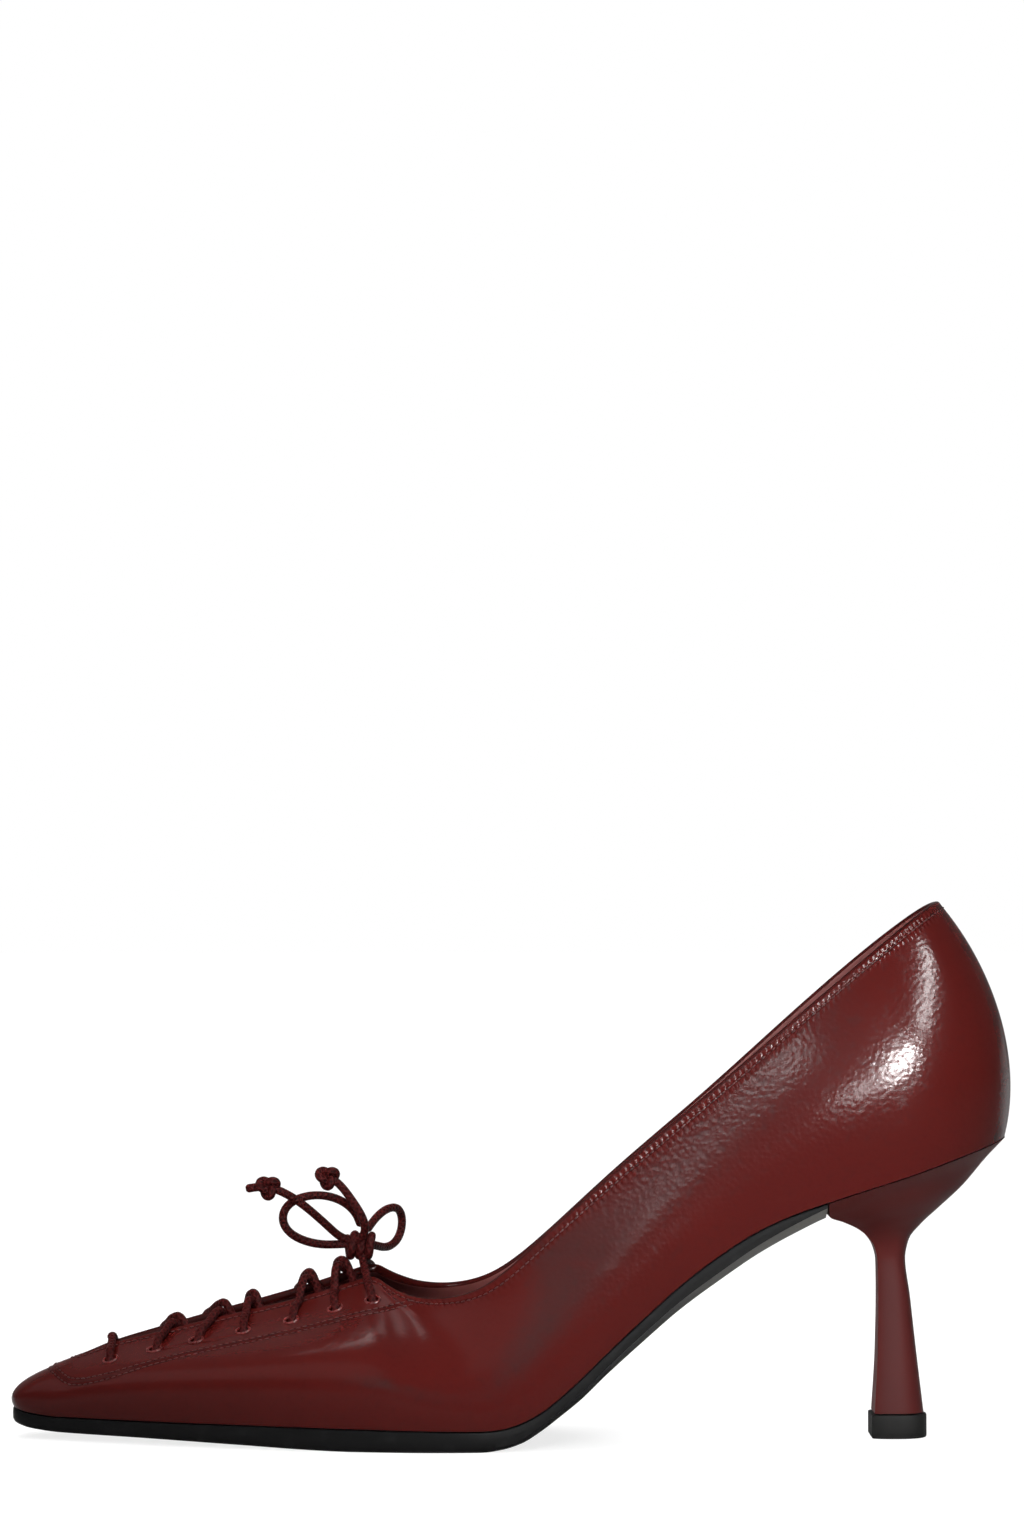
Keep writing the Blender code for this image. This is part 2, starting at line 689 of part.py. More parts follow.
def make_knot(material):
    shape = bmesh.new()
    bmesh.ops.create_uvsphere(shape, u_segments=KNOT_SEGMENTS, v_segments=KNOT_RINGS, radius=1.0)
    for corner in shape.verts:
        offset = np.array(corner.co) * np.array(KNOT_RADII)
        corner.co = place(np.array(KNOT_CENTRE) + offset)
    mesh = bpy.data.meshes.new("lace_knot")
    shape.to_mesh(mesh)
    shape.free()
    return add_object("lace_knot", mesh, material)


def end_radii(name, route):
    """Cord radius along an end, swollen where its stopper knot sits."""
    spot = np.array(END_KNOT_SPOT[name])
    radii = []
    for point in route:
        away = float(np.linalg.norm(point - spot)) / END_KNOT_REACH
        radii.append(1.0 + (END_KNOT_SWELL - 1.0) * max(0.0, 1.0 - away * away))
    return radii


def make_bow(material):
    make_knot(material)
    tube("lace_loop_front", open_spline(LOOP_FRONT, LOOP_POINTS), material)
    tube("lace_loop_back", open_spline(LOOP_BACK, LOOP_POINTS), material)
    for name, points in (("lace_end_front", END_FRONT), ("lace_end_back", END_BACK)):
        route = open_spline(points, END_POINTS)
        tube(name, route, material, end_radii(name, route))


def clear_scene():
    for piece in list(bpy.data.objects):
        bpy.data.objects.remove(piece, do_unlink=True)


def main():
    clear_scene()
    make_upper(make_material(LEATHER))
    make_outsole(make_material(SOLE))
    make_insole(make_material(SOCK))
    make_heel(make_material(HEEL_COVER))
    make_top_piece(make_material(RUBBER))
    lace = make_material(CORD)
    make_first_bar(lace)
    make_crossings(lace)
    make_rising_strands(lace)
    make_bow(lace)


main()
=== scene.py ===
"""Finished look of the laced pointed toe pump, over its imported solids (metres, +Z up).

The tables are in millimetres: u runs back from the toe tip, y runs to the inner side of the
foot and z is the height above the floor. The leather is measured by its station t, which goes
round the shoe from the toe along the outer side to the heel and back along the inner side, and
by its setback, the length of leather below the top edge.
"""
import math
from collections import namedtuple

import bmesh
import bpy
import numpy as np
from bpy.props import FloatProperty, FloatVectorProperty, PointerProperty
from mathutils import Matrix, Vector


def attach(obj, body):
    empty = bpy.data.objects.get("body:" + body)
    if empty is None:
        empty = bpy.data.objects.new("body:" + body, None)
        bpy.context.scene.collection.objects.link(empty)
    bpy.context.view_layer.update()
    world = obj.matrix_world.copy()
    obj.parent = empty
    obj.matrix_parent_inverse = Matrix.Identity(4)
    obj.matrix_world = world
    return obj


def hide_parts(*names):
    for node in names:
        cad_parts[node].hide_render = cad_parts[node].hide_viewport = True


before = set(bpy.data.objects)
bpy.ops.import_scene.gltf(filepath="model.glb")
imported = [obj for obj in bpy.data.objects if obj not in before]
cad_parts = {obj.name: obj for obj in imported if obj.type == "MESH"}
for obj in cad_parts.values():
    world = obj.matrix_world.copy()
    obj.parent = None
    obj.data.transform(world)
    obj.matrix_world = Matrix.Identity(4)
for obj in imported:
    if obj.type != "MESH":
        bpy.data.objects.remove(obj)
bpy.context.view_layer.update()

bl_info = {
    "name": "Laced pointed toe pump",
    "version": (1, 0, 0),
    "blender": (4, 5, 0),
    "location": "View3D > Sidebar > Pump",
    "description": "Builds the finished leather, sole, heel and laces of a pointed toe pump",
    "category": "Object",
}

# One millimetre in metres, then clearances, thicknesses and places in millimetres.
MM = 0.001
GAP = 0.3
SOLE_INSET = -0.1
INSOLE_THICKNESS = 2.2
BREAST_U = 192.6
CENTRE_U = 118.700
CENTRE_Y = -1.580

EYELET_SETBACK = 10.2
EYELET_U = (24.2, 34.6, 44.4, 55.5, 66.9, 77.3, 86.1)

# Sole along the shoe: heights of its bed and its underside, and of the bevel between them.
Profile = namedtuple("Profile", "u bed under bevel")
PROFILE = (
    Profile(0.0, 7.1, 3.9, 0.5),
    Profile(5.0, 5.9, 2.5, 0.5),
    Profile(12.0, 5.3, 1.8, 0.5),
    Profile(32.0, 5.3, 1.5, 0.5),
    Profile(56.0, 5.3, 0.8, 0.5),
    Profile(72.0, 5.2, 0.2, 0.5),
    Profile(82.0, 5.1, 0.0, 0.5),
    Profile(112.0, 4.7, 0.0, 0.5),
    Profile(116.5, 5.1, 0.5, 0.7),
    Profile(121.0, 6.4, 1.8, 0.9),
    Profile(125.5, 8.7, 4.4, 1.1),
    Profile(130.0, 12.1, 7.7, 1.3),
    Profile(135.0, 16.5, 11.6, 1.5),
    Profile(140.0, 21.3, 16.3, 1.7),
    Profile(149.0, 29.6, 24.2, 2.0),
    Profile(158.0, 37.5, 31.8, 2.1),
    Profile(167.5, 44.6, 38.6, 2.2),
    Profile(177.0, 50.4, 44.9, 2.3),
    Profile(186.0, 54.3, 49.8, 2.4),
    Profile(194.0, 57.0, 53.6, 2.4),
    Profile(213.7, 63.3, 60.0, 0.8),
    Profile(238.0, 71.8, 68.0, 0.8),
)

# Last at each station: the feather line's place and half widths, the top edge's place, half
# widths and height, how much higher the inner side is, and the wall's bulge above and below.
Station = namedtuple(
    "Station",
    "foot lateral medial top top_lateral top_medial top_z inner_rise"
    " belly belly_up shoulder shoulder_down",
)
STATIONS = (
    Station(0.2, -2.0, 2.0, 16.4, 0.0, 0.0, 19.2, 0.0, 2.6, 4.6, 10.3, 3.7),
    Station(1.5, 4.4, 7.8, 16.8, 0.7, 0.7, 19.4, 0.0, 3.0, 5.0, 9.7, 3.7),
    Station(7.6, 8.1, 11.4, 19.0, 1.1, 1.1, 20.2, 0.1, 3.8, 6.6, 8.8, 3.9),
    Station(18.0, 12.9, 15.9, 24.5, 1.5, 1.5, 22.3, 0.3, 5.2, 9.8, 9.8, 4.9),
    Station(32.0, 19.5, 22.3, 34.0, 2.0, 2.0, 24.8, 0.7, 6.6, 13.6, 12.2, 6.7),
    Station(48.0, 25.8, 28.2, 48.0, 2.6, 2.6, 28.3, 1.2, 7.6, 16.8, 15.2, 9.0),
    Station(64.0, 31.1, 32.3, 62.0, 3.2, 3.2, 31.6, 1.7, 8.0, 19.2, 17.6, 11.0),
    Station(78.0, 35.0, 33.9, 75.0, 3.9, 3.9, 35.2, 2.0, 8.2, 21.0, 19.0, 12.4),
    Station(90.0, 37.2, 33.3, 84.6, 4.8, 4.8, 38.2, 2.0, 7.8, 21.6, 18.4, 12.7),
    Station(96.5, 37.8, 32.2, 88.4, 6.8, 6.6, 37.2, 2.0, 6.6, 20.0, 16.6, 11.7),
    Station(103.0, 38.0, 30.9, 94.0, 11.6, 10.8, 34.8, 2.0, 4.8, 16.8, 13.6, 9.9),
    Station(112.0, 37.4, 29.2, 102.0, 19.2, 17.0, 34.6, 0.8, 2.9, 13.6, 9.8, 8.5),
    Station(124.0, 35.3, 27.1, 113.0, 26.2, 22.4, 38.4, -1.2, 2.0, 12.0, 5.6, 8.8),
    Station(140.0, 31.9, 24.9, 126.0, 28.4, 24.2, 49.6, -3.4, 1.8, 11.5, 2.8, 10.0),
    Station(160.0, 27.9, 23.2, 144.0, 26.8, 23.6, 65.6, -3.0, 2.0, 12.0, 1.8, 11.0),
    Station(180.0, 25.6, 22.9, 164.0, 24.9, 23.0, 82.1, -2.2, 2.3, 13.0, 2.0, 12.5),
    Station(200.0, 24.5, 23.6, 184.0, 23.6, 22.6, 99.2, -1.3, 2.6, 15.0, 2.6, 14.0),
    Station(216.0, 22.4, 22.2, 200.5, 20.4, 20.2, 113.1, -0.6, 3.0, 16.5, 5.0, 15.0),
    Station(228.0, 16.6, 16.6, 212.0, 14.4, 14.4, 122.2, -0.2, 3.9, 17.5, 9.2, 15.4),
    Station(234.3, 8.8, 8.8, 218.2, 7.4, 7.4, 126.5, 0.0, 4.5, 18.0, 12.6, 15.5),
    Station(236.2, 0.0, 0.0, 220.2, 0.0, 0.0, 127.5, 0.0, 4.7, 18.0, 13.7, 15.5),
)
INNER_FLATTEN = 0.27

# Heel from its seat down: front and back of the section with their heights, and its shape.
HeelLevel = namedtuple("HeelLevel", "front front_z back back_z half_width squareness")
HEEL_LEVELS = (
    HeelLevel(193.3, 53.4, 232.0, 66.6, 20.8, 0.10),
    HeelLevel(197.0, 51.7, 226.2, 59.8, 16.4, 0.25),
    HeelLevel(200.5, 49.9, 220.4, 54.4, 11.8, 0.50),
    HeelLevel(203.2, 47.7, 216.2, 50.5, 8.2, 0.75),
    HeelLevel(204.9, 45.2, 213.4, 46.9, 5.8, 0.95),
    HeelLevel(205.7, 41.6, 212.5, 42.4, 4.7, 1.0),
    HeelLevel(205.8, 33.6, 213.6, 33.6, 5.0, 1.0),
    HeelLevel(205.6, 21.0, 215.0, 21.0, 5.8, 1.0),
    HeelLevel(204.8, 5.9, 216.8, 5.9, 7.0, 1.0),
)
STEM_SQUARENESS = 2.5
STEM_FRONT_ANGLE = math.radians(122.0)
TOP_PIECE_HEIGHT = 5.6
TOP_PIECE_PROUD = 0.7

# Seam of the facings: how far below the top edge it runs at each station of one side.
Seam = namedtuple("Seam", "station setback")
FACING_SEAM = (
    Seam(0.0, 7.2),
    Seam(1.0, 8.2),
    Seam(1.9, 10.8),
    Seam(2.6, 14.4),
    Seam(3.1, 16.3),
    Seam(4.0, 17.8),
    Seam(5.1, 17.4),
    Seam(6.0, 16.8),
    Seam(7.2, 16.3),
    Seam(8.0, 15.8),
    Seam(8.7, 13.2),
    Seam(9.3, 9.0),
    Seam(9.8, 5.0),
    Seam(10.2, 2.6),
)

# Bow: routes of its loops and ends as (u, y, z).
KNOT_CENTRE = (82.6, 0.0, 45.3)
LOOP_FRONT = (
    (77.4, -2.6, 45.7), (74.0, -5.2, 45.8), (70.4, -8.2, 46.7), (67.4, -10.6, 48.2), (65.4, -12.0, 50.1),
    (64.6, -12.7, 52.5), (65.3, -12.9, 54.9), (67.4, -12.3, 56.7), (70.9, -10.3, 57.7), (74.5, -7.9, 57.6),
    (77.9, -5.6, 56.5), (80.7, -3.6, 54.5), (82.3, -2.2, 52.1), (82.9, -1.2, 50.0),
)
THROUGH_FRONT = ((80.4, -1.6, 45.7), (82.6, -2.6, 46.6))
LOOP_BACK = (
    (84.3, 2.5, 48.75), (86.3, 6.2, 51.4), (88.5, 10.0, 53.1), (90.6, 13.8, 53.5), (92.0, 16.9, 52.3),
    (92.4, 18.4, 48.9), (91.4, 17.4, 45.6), (89.6, 14.4, 44.1), (87.9, 10.2, 44.1), (86.4, 6.0, 44.8),
)
THROUGH_BACK = ((84.6, 2.0, 45.4), (81.4, -1.4, 46.3))
END_FRONT = (
    (78.2, -3.6, 47.4), (74.8, -7.6, 50.8), (70.6, -12.2, 54.9), (67.2, -15.0, 57.6),
    (64.2, -16.6, 59.3), (61.6, -17.2, 60.2), (59.0, -17.4, 60.2), (56.4, -17.4, 59.7),
)
END_BACK = (
    (84.0, -3.7, 48.0), (83.9, -5.8, 51.4), (82.2, -6.8, 54.6), (79.6, -7.5, 58.4),
    (77.4, -7.9, 61.0), (75.8, -8.0, 61.9), (73.8, -8.0, 62.0),
)
LACE_ROUTE_STEP = 0.35
LACE_SIDES = 12
LACE_TIP_SHARES = (0.55, 0.9)
ROUTE_SHARES = 24
END_KNOT_FRONT = (61.6, -17.2, 60.1)
END_KNOT_BACK = (75.2, -8.0, 61.9)
END_KNOT_SCALE = 0.76
END_KNOT_DEPTH = 1.1
END_KNOT_FULLNESS = 0.92
END_KNOT_POINTS = 90
KNOT_TURNS = 2.9
KNOT_COIL_RADIUS = 2.5
KNOT_PITCH = 2.1
KNOT_START = 0.6
KNOT_FULLNESS = 1.05
KNOT_POINTS = 80
BOW_FRONT_LENGTH = 0.073
BOW_BACK_LENGTH = 0.081
BOW_EASING = 45

# Crossings of the lacing: where the strands go over their own edge of the slit, how high the
# outer and the inner strand stand above it there, and where they go under the other edge.
Crossing = namedtuple("Crossing", "over outer_arch inner_arch under")
CROSSINGS = (
    Crossing(38.0, 1.25, 1.25, 42.0),
    Crossing(49.0, 1.35, 1.3, 52.8),
    Crossing(56.4, 2.1, 1.6, 59.4),
    Crossing(69.6, 3.9, 2.6, 73.2),
    Crossing(77.2, 4.5, 3.0, 81.4),
)
CLIMB_SHARES = (0.3, 0.65)
OUTER_MIDDLE_DROP = 1.3
INNER_MIDDLE_DROP = 0.2
MIDDLE_SLOPE = 0.2

# Rest of the lacing: the first bar, the turn under the facings behind it, the tuck under the far
# edge, and the strands that rise from the last eyelets into the knot.
LACE_OVER_GAP = 0.15
LACE_UNDER_GAP = 0.25
BAR_SHARES = (0.0, 0.5, 0.8)
BAR_BOW = (-0.3, 0.0, 0.25)
UnderSpot = namedtuple("UnderSpot", "run setback drop inner_drop")
LEAVING = (UnderSpot(2.0, 9.2, 0.4, 0.0), UnderSpot(4.6, 4.08, 0.2, 0.9))
ARRIVING = (UnderSpot(-4.0, 5.1, 0.0, 0.0), UnderSpot(-1.0, 10.2, 0.0, 0.0))
TUCK_SETBACK = 0.9
TUCK_MIDDLE = 5.61
TUCK_RISE = 0.6
LAST_LEAN = 1.6
LAST_SHARES = (0.3, 0.7)
INTO_KNOT = ((0.9, 2.4, -3.6), (0.6, 0.8, -0.8))

# Leather: mesh steps, stations that hold the eyelets, height of the line that its length is
# measured on, steepness of the seam's step, folded edge, and ridges beside the creases.
UPPER_COLUMNS_PER_STATION = 12
UPPER_ROWS = 60
UPPER_ROW_CROWDING = 1.3
LINING_ROWS = 20
FOLD_STEPS = 8
ARC_STEPS = 160
BISECT_STEPS = 26
DELTA = 1e-3
UPPER_CRISP = 50.0
LEATHER_SLOT = 0
LINING_SLOT = 1
FACING_STATIONS = (1.0, 12.0)
LEATHER_LINE = 0.8
SEAM_BLEND = 0.16
SEAM_LIMIT = 40.0
FOLD_RISE = 0.16
FOLD_REACH = 1.3
RIDGE_HEIGHT = 0.5
RIDGE_SHIFT = 2.2

# Creases: where their middles lie, how far they run along and across, their slant and depth.
Crease = namedtuple("Crease", "station setback along across slant depth")
CREASES = (
    Crease(4.95, 12.0, 9.0, 0.7, 0.10, 0.22),
    Crease(9.2, 3.4, 2.6, 0.7, 0.55, 0.25),
    Crease(9.7, 4.4, 3.0, 0.8, 0.75, 0.20),
    Crease(35.0, 12.0, 8.0, 0.8, -0.10, 0.20),
    Crease(30.7, 6.4, 4.5, 1.0, -0.60, 0.22),
    Crease(13.2, 9.0, 7.0, 1.8, 0.90, 0.16),
    Crease(27.2, 9.5, 7.0, 1.8, -0.90, 0.16),
)

# Eyelets and stitching: reach of the punch in wall thicknesses, rims, and the rows' margins.
EYELET_SIDES = 24
PUNCH_REACH = (-2.2, 1.2)
RIM_STEPS = 28
RIM_ROLL_STEPS = 8
RIM_LIFT = 0.05
RIM_SPREAD = 0.8
STITCH_SIDES = 6
STITCH_LIFT = 0.02
EDGE_ROW_POINTS = 1400
EDGE_ROW_MARGIN = 0.35
SEAM_ROW_POINTS = 700
SEAM_ROW_MARGIN = 0.15

# Outsole: rounding of its top edge as insets and drops, swell of its side, and its bevel.
OUTSOLE_RINGS = 260
OUTSOLE_START = 0.12
OUTSOLE_CRISP = 35.0
SOLE_ROUNDING = ((0.40, 0.0), (0.11, 0.12), (0.0, 0.42))
SOLE_SWELL = 0.06
SOLE_LOW_ROUNDING = 0.22
TOE_BEVEL_RUN = 0.2
TOE_BEVEL_GROWTH = 0.4
BEVEL_TOP_SHARE = 0.14
BEVEL_TOP_DROP = 0.02
BEVEL_FOOT_SHARE = 0.86
BEVEL_FOOT_RISE = 0.12
TREAD_MARGIN = 0.3

# Insole, heel and top piece: mesh steps, and rounded edges as insets and drops or heights.
INSOLE_RINGS = 160
INSOLE_START = 1.4
INSOLE_END_MARGIN = 0.25
INSOLE_CLEARANCE = 0.6
INSOLE_EDGE = ((1.2, 0.0), (0.35, 0.18), (0.0, 0.7), (0.0, INSOLE_THICKNESS))
INSOLE_CRISP = 40.0
HEEL_RING_HALF = 52
HEEL_STEPS = 72
HEEL_CRISP = 38.0
TOP_PIECE_EDGE = (
    (0.45, TOP_PIECE_HEIGHT), (0.12, TOP_PIECE_HEIGHT - 0.1), (0.0, TOP_PIECE_HEIGHT - 0.4),
    (0.0, 0.5), (0.1, 0.14), (0.4, 0.0),
)
TOP_PIECE_CRISP = 35.0

# Polished leather: texture sizes, reach of its gathers and grooves, and ranges of its shades. The grain's
# hollows and the stitch and seam grooves are darkened as painted shade.
LEATHER_SPECULAR = 0.15
LEATHER_DETAIL = 3.0
FINE_SIZE = 0.28
DRIFT_SIZE = 26.0
WRINKLE_SIZE = 3.2
WRINKLE_STRETCH = 1.2
GATHER_REACH = 2.0
GROOVE_REACH = 0.55
SEAM_GROOVE_REACH = 0.5
CUT_EDGE_REACH = 0.45
EDGE_DEPTH = (0.15, 1.1)
NEAR_EDGE = (2.0, 9.0)
DRIFT_RANGE = (0.3, 0.75)
GRAIN_HOLLOW_RANGE = (0.45, 0.75)
LEATHER_LIGHT = 1.25
Shade = namedtuple("Shade", "drift crevice edge groove seam_groove cut_edge")
LEATHER_SHADE = Shade(0.30, 0.12, 0.75, 0.45, 0.50, 0.50)
Roughness = namedtuple("Roughness", "base fine broad")
LEATHER_ROUGHNESS = Roughness(0.12, 0.05, 0.06)
Relief = namedtuple("Relief", "fine grain wrinkle edge_wrinkle gather groove seam_groove depth strength")
LEATHER_RELIEF = Relief(0.10, 0.55, 0.22, 0.80, 0.90, 1.6, 1.4, 0.075, 0.85)

# Plain leathers with a pebbled grain, and finishes with a fine texture: sizes in millimetres,
# tints as shares of their colour, roughness and its unevenness, and relief.
PebbledLeather = namedtuple(
    "PebbledLeather", "specular grain drift detail dark light rough uneven depth strength"
)
PEBBLED_LEATHERS = {
    "lining_leather": PebbledLeather(0.35, 0.8, 14.0, 4.0, 1.0, 1.35, 0.55, 0.20, 0.05, 0.50),
    "satin_heel_leather": PebbledLeather(0.08, 0.5, 18.0, 3.0, 0.82, 1.0, 0.42, 0.14, 0.03, 0.45),
    "soft_sock": PebbledLeather(0.30, 0.9, 20.0, 4.0, 0.80, 1.0, 0.50, 0.20, 0.05, 0.50),
}
FineFinish = namedtuple("FineFinish", "specular fine drift detail dark light rough uneven depth strength")
FINE_FINISHES = {
    "moulded_rubber": FineFinish(0.12, 0.4, 4.0, 3.0, 1.0, 1.8, 0.50, 0.20, 0.06, 0.6),
    "thread": FineFinish(0.50, 0.3, 0.3, 2.0, 0.75, 1.0, 0.40, 0.20, 0.05, 0.5),
    # The eyelet rims take the upper's colour 1.6 to 3.2 times lighter: a painted highlight.
    "eyelet_leather_painted_highlight": FineFinish(0.60, 0.7, 0.7, 2.0, 1.6, 3.2, 0.20, 0.15, 0.06, 0.5),
}
RIM_COAT = 0.5
RIM_COAT_UNEVEN = 0.2
RIM_COAT_ROUGHNESS = 0.12

# Sole: stretch of the shoe in metres where its waist begins, tilts that part its edge from its
# underside, and its scuffs.
SOLE_SPECULAR = 0.1
WAIST_SPAN = (0.010, 0.024)
TREAD_TILT = 0.243
UNDER_TILT = (-0.75, -0.6)
SCUFF_SIZE = 5.0
SCUFF_DETAIL = 5.0
SCUFF_RANGE = (0.52, 0.72)
SCUFF_SHARE = 0.5
SCUFF_LIGHT = 2.2
UNDER_DARK = 0.8
SOLE_FINE_SIZE = 0.5
SOLE_ROUGHNESS = Roughness(0.36, 0.2, 0.1)
SOLE_RELIEF_DEPTH = 0.03
SOLE_RELIEF_STRENGTH = 0.7

# Braid of the lace: strands round it, length of one turn, and its fibres, and where its raised strands get a
# painted highlight.
BRAID_SPECULAR = 0.06
BRAID_STRANDS = 4
BRAID_TURN = 1.5
FIBRE_SIZE = 0.25
FIBRE_DETAIL = 3.0
FIBRE_RELIEF = 0.6
PAINTED_STRAND_RANGE = (-0.2, 0.9)
BRAID_ROUGHNESS = 0.42
BRAID_UNEVEN = 0.2
BRAID_RELIEF_DEPTH = 0.12
BRAID_RELIEF_STRENGTH = 0.8

# Stage, in metres and degrees: camera, ceiling light, floor and surround.
PHOTO_HEIGHT = 1536
FOCAL_PIXELS = 5025.4
SENSOR = 36.0
CAMERA_PLACE = (0.0002, -1.198, 0.130)
CAMERA_AIM = (0.0002, 0.002, 0.159)
SUN_STRENGTH = 2.45
SUN_SPREAD = 75.0
SUN_TILT = (8.0, -6.0)
WORLD_STRENGTH = 0.16
WHITE = (1.0, 1.0, 1.0, 1.0)
BLACK = (0.0, 0.0, 0.0)
FLOOR_RADIUS = 9.0
FLOOR_SIDES = 96
FLOOR_BOUNCE = 0.38
FLOOR_SHADOWED = 0.28
FLOOR_GLOW = 0.84
FLOOR_MOTTLE = 300.0
FLOOR_ROUGHNESS = 0.7
FLOOR_UNEVEN = 0.1

# Soft strips that only reflect: the spot on the leather, the headings of the strip's two ends
# from there, its distance and width, and how bright and how narrow its light is.
Strip = namedtuple("Strip", "name aim first last distance width radiance spread")
SOFT_STRIPS = (
    Strip("strip_counter", (0.097, -0.018, 0.104), (62.0, 40.0), (32.0, 18.0), 0.6, 0.036, 70.0, 180.0),
    Strip("strip_quarter", (0.086, -0.023, 0.086), (30.0, 15.0), (16.0, 8.0), 0.3, 0.018, 240.0, 180.0),
    Strip("strip_quarter_tail", (0.080, -0.024, 0.081), (16.0, 7.6), (6.5, 3.6), 0.3, 0.012, 60.0, 180.0),
    Strip("strip_waist", (0.060, -0.023, 0.090), (1.0, 14.0), (-5.0, 11.5), 0.35, 0.016, 36.0, 25.0),
    Strip("strip_vamp", (-0.042, -0.035, 0.0254), (-140.4, 62.8), (-184.0, 55.0), 0.1, 0.034, 3.8, 26.0),
    Strip("strip_throat", (-0.0387, -0.0277, 0.0294), (-177.1, 58.5), (-204.1, 48.2), 0.1, 0.01, 1.5, 34.0),
    Strip("strip_back", (0.116, -0.008, 0.082), (118.0, -4.0), (152.0, -2.0), 0.5, 0.16, 0.6, 60.0),
    Strip("side_card", (-0.020, -0.030, 0.020), (-98.0, 38.0), (-8.0, 38.0), 1.3, 0.8, 0.5, 180.0),
)

# Fills that light the leather without a reflection.
Fill = namedtuple("Fill", "name place aim size power spread")
FILLS = (
    Fill("fill_outer", (-0.02, -0.48, 0.24), (0.072, -0.02, 0.086), 0.25, 0.40, 40.0),
    Fill("fill_inner", (-0.10, 0.60, 0.30), (0.010, 0.02, 0.050), 0.40, 1.1, 70.0),
)


def smooth_through(xs, ys):
    """Smooth curve through rows of numbers that never overshoots them."""
    xs = np.asarray(xs, dtype=float)
    rows = np.asarray(ys, dtype=float).reshape(len(xs), -1)
    steps = np.diff(xs)
    slopes = np.diff(rows, axis=0) / steps[:, None]
    tangents = np.zeros_like(rows)
    tangents[0] = slopes[0]
    tangents[-1] = slopes[-1]
    for i in range(1, len(xs) - 1):
        share = (steps[i - 1] + 2 * steps[i]) / (3 * (steps[i - 1] + steps[i]))
        for c in range(rows.shape[1]):
            before = slopes[i - 1, c]
            after = slopes[i, c]
            if before * after > 0:
                tangents[i, c] = 1 / (share / before + (1 - share) / after)

    def value(x):
        x = np.clip(np.asarray(x, dtype=float), xs[0], xs[-1])
        i = np.clip(np.searchsorted(xs, x, side="right") - 1, 0, len(steps) - 1)
        step = steps[i][..., None]
        f = ((x - xs[i]) / steps[i])[..., None]
        rise = f * f * (3 - 2 * f)
        ease_in = f * (1 - f) * (1 - f) * step
        ease_out = f * f * (f - 1) * step
        found = rows[i] * (1 - rise) + rows[i + 1] * rise + tangents[i] * ease_in + tangents[i + 1] * ease_out
        return found[..., 0] if np.ndim(ys) == 1 else found

    return value


def closed_spline(points):
    """Periodic cubic spline through rows of numbers, one row for each whole parameter."""
    points = np.asarray(points, dtype=float)
    count = len(points)
    before = np.roll(points, 1, axis=0)
    after = np.roll(points, -1, axis=0)
    system = 4 * np.eye(count) + np.roll(np.eye(count), 1, axis=0) + np.roll(np.eye(count), -1, axis=0)
    bends = np.linalg.solve(system, 6 * (before - 2 * points + after))

    def value(t):
        t = np.asarray(t, dtype=float)
        whole = np.floor(t).astype(int)
        f = (t - whole)[..., None]
        g = 1 - f
        a = whole % count
        b = (whole + 1) % count
        curved = ((g ** 3 - g) * bends[a] + (f ** 3 - f) * bends[b]) / 6
        return g * points[a] + f * points[b] + curved

    return value


def lengths_walked(path):
    """Length walked along a path at each of its points."""
    return np.concatenate(([0.0], np.cumsum(np.linalg.norm(np.diff(path, axis=0), axis=1))))


def smooth_route(points, step):
    """Points at even steps on a smooth open curve through a route's own points."""
    points = np.asarray(points, dtype=float)
    padded = np.vstack((2 * points[0] - points[1], points, 2 * points[-1] - points[-2]))
    fine = []
    shares = np.linspace(0.0, 1.0, ROUTE_SHARES, endpoint=False)[:, None]
    for i in range(len(points) - 1):
        p0, p1, p2, p3 = padded[i:i + 4]
        bend = (2 * p0 - 5 * p1 + 4 * p2 - p3) * shares ** 2 + (3 * p1 - p0 - 3 * p2 + p3) * shares ** 3
        fine.append(p1 + 0.5 * ((p2 - p0) * shares + bend))
    fine = np.vstack((*fine, points[-1:]))
    walked = lengths_walked(fine)
    count = max(2, int(round(walked[-1] / step)) + 1)
    marks = np.linspace(0.0, walked[-1], count)
    return np.stack([np.interp(marks, walked, fine[:, c]) for c in range(3)], axis=1)


bed_height = smooth_through([row.u for row in PROFILE], [row.bed for row in PROFILE])
under_height = smooth_through([row.u for row in PROFILE], [row.under for row in PROFILE])
edge_bevel = smooth_through([row.u for row in PROFILE], [row.bevel for row in PROFILE])
seam_setback = smooth_through([row.station for row in FACING_SEAM], [row.setback for row in FACING_SEAM])


def loop_rows():
    """Rows of the closed loop: outer side from toe to heel, then inner side back to the toe."""
    outer = [
        (s.foot, -s.lateral, s.top, -s.top_lateral, s.top_z, s.belly, s.belly_up, s.shoulder, s.shoulder_down)
        for s in STATIONS
    ]
    inner = []
    for s in reversed(STATIONS[1:-1]):
        top_z = s.top_z + s.inner_rise
        shoulder_down = s.shoulder_down * (1 - INNER_FLATTEN * max(s.inner_rise, 0.0))
        inner.append(
            (s.foot, s.medial, s.top, s.top_medial, top_z, s.belly, s.belly_up, s.shoulder, shoulder_down)
        )
    return outer + inner


LOOP_COUNT = 2 * (len(STATIONS) - 1)
BACK_SEAM = len(STATIONS) - 1
loop_at = closed_spline(loop_rows())


def foot_plan(t):
    """Feather line in plan: its points, its directions of travel and its outward directions."""
    along = loop_at(t + DELTA)[..., :2] - loop_at(t - DELTA)[..., :2]
    along = along / np.linalg.norm(along, axis=-1, keepdims=True)
    outward = np.stack((along[..., 1], -along[..., 0]), axis=-1)
    return loop_at(t)[..., :2], along, outward


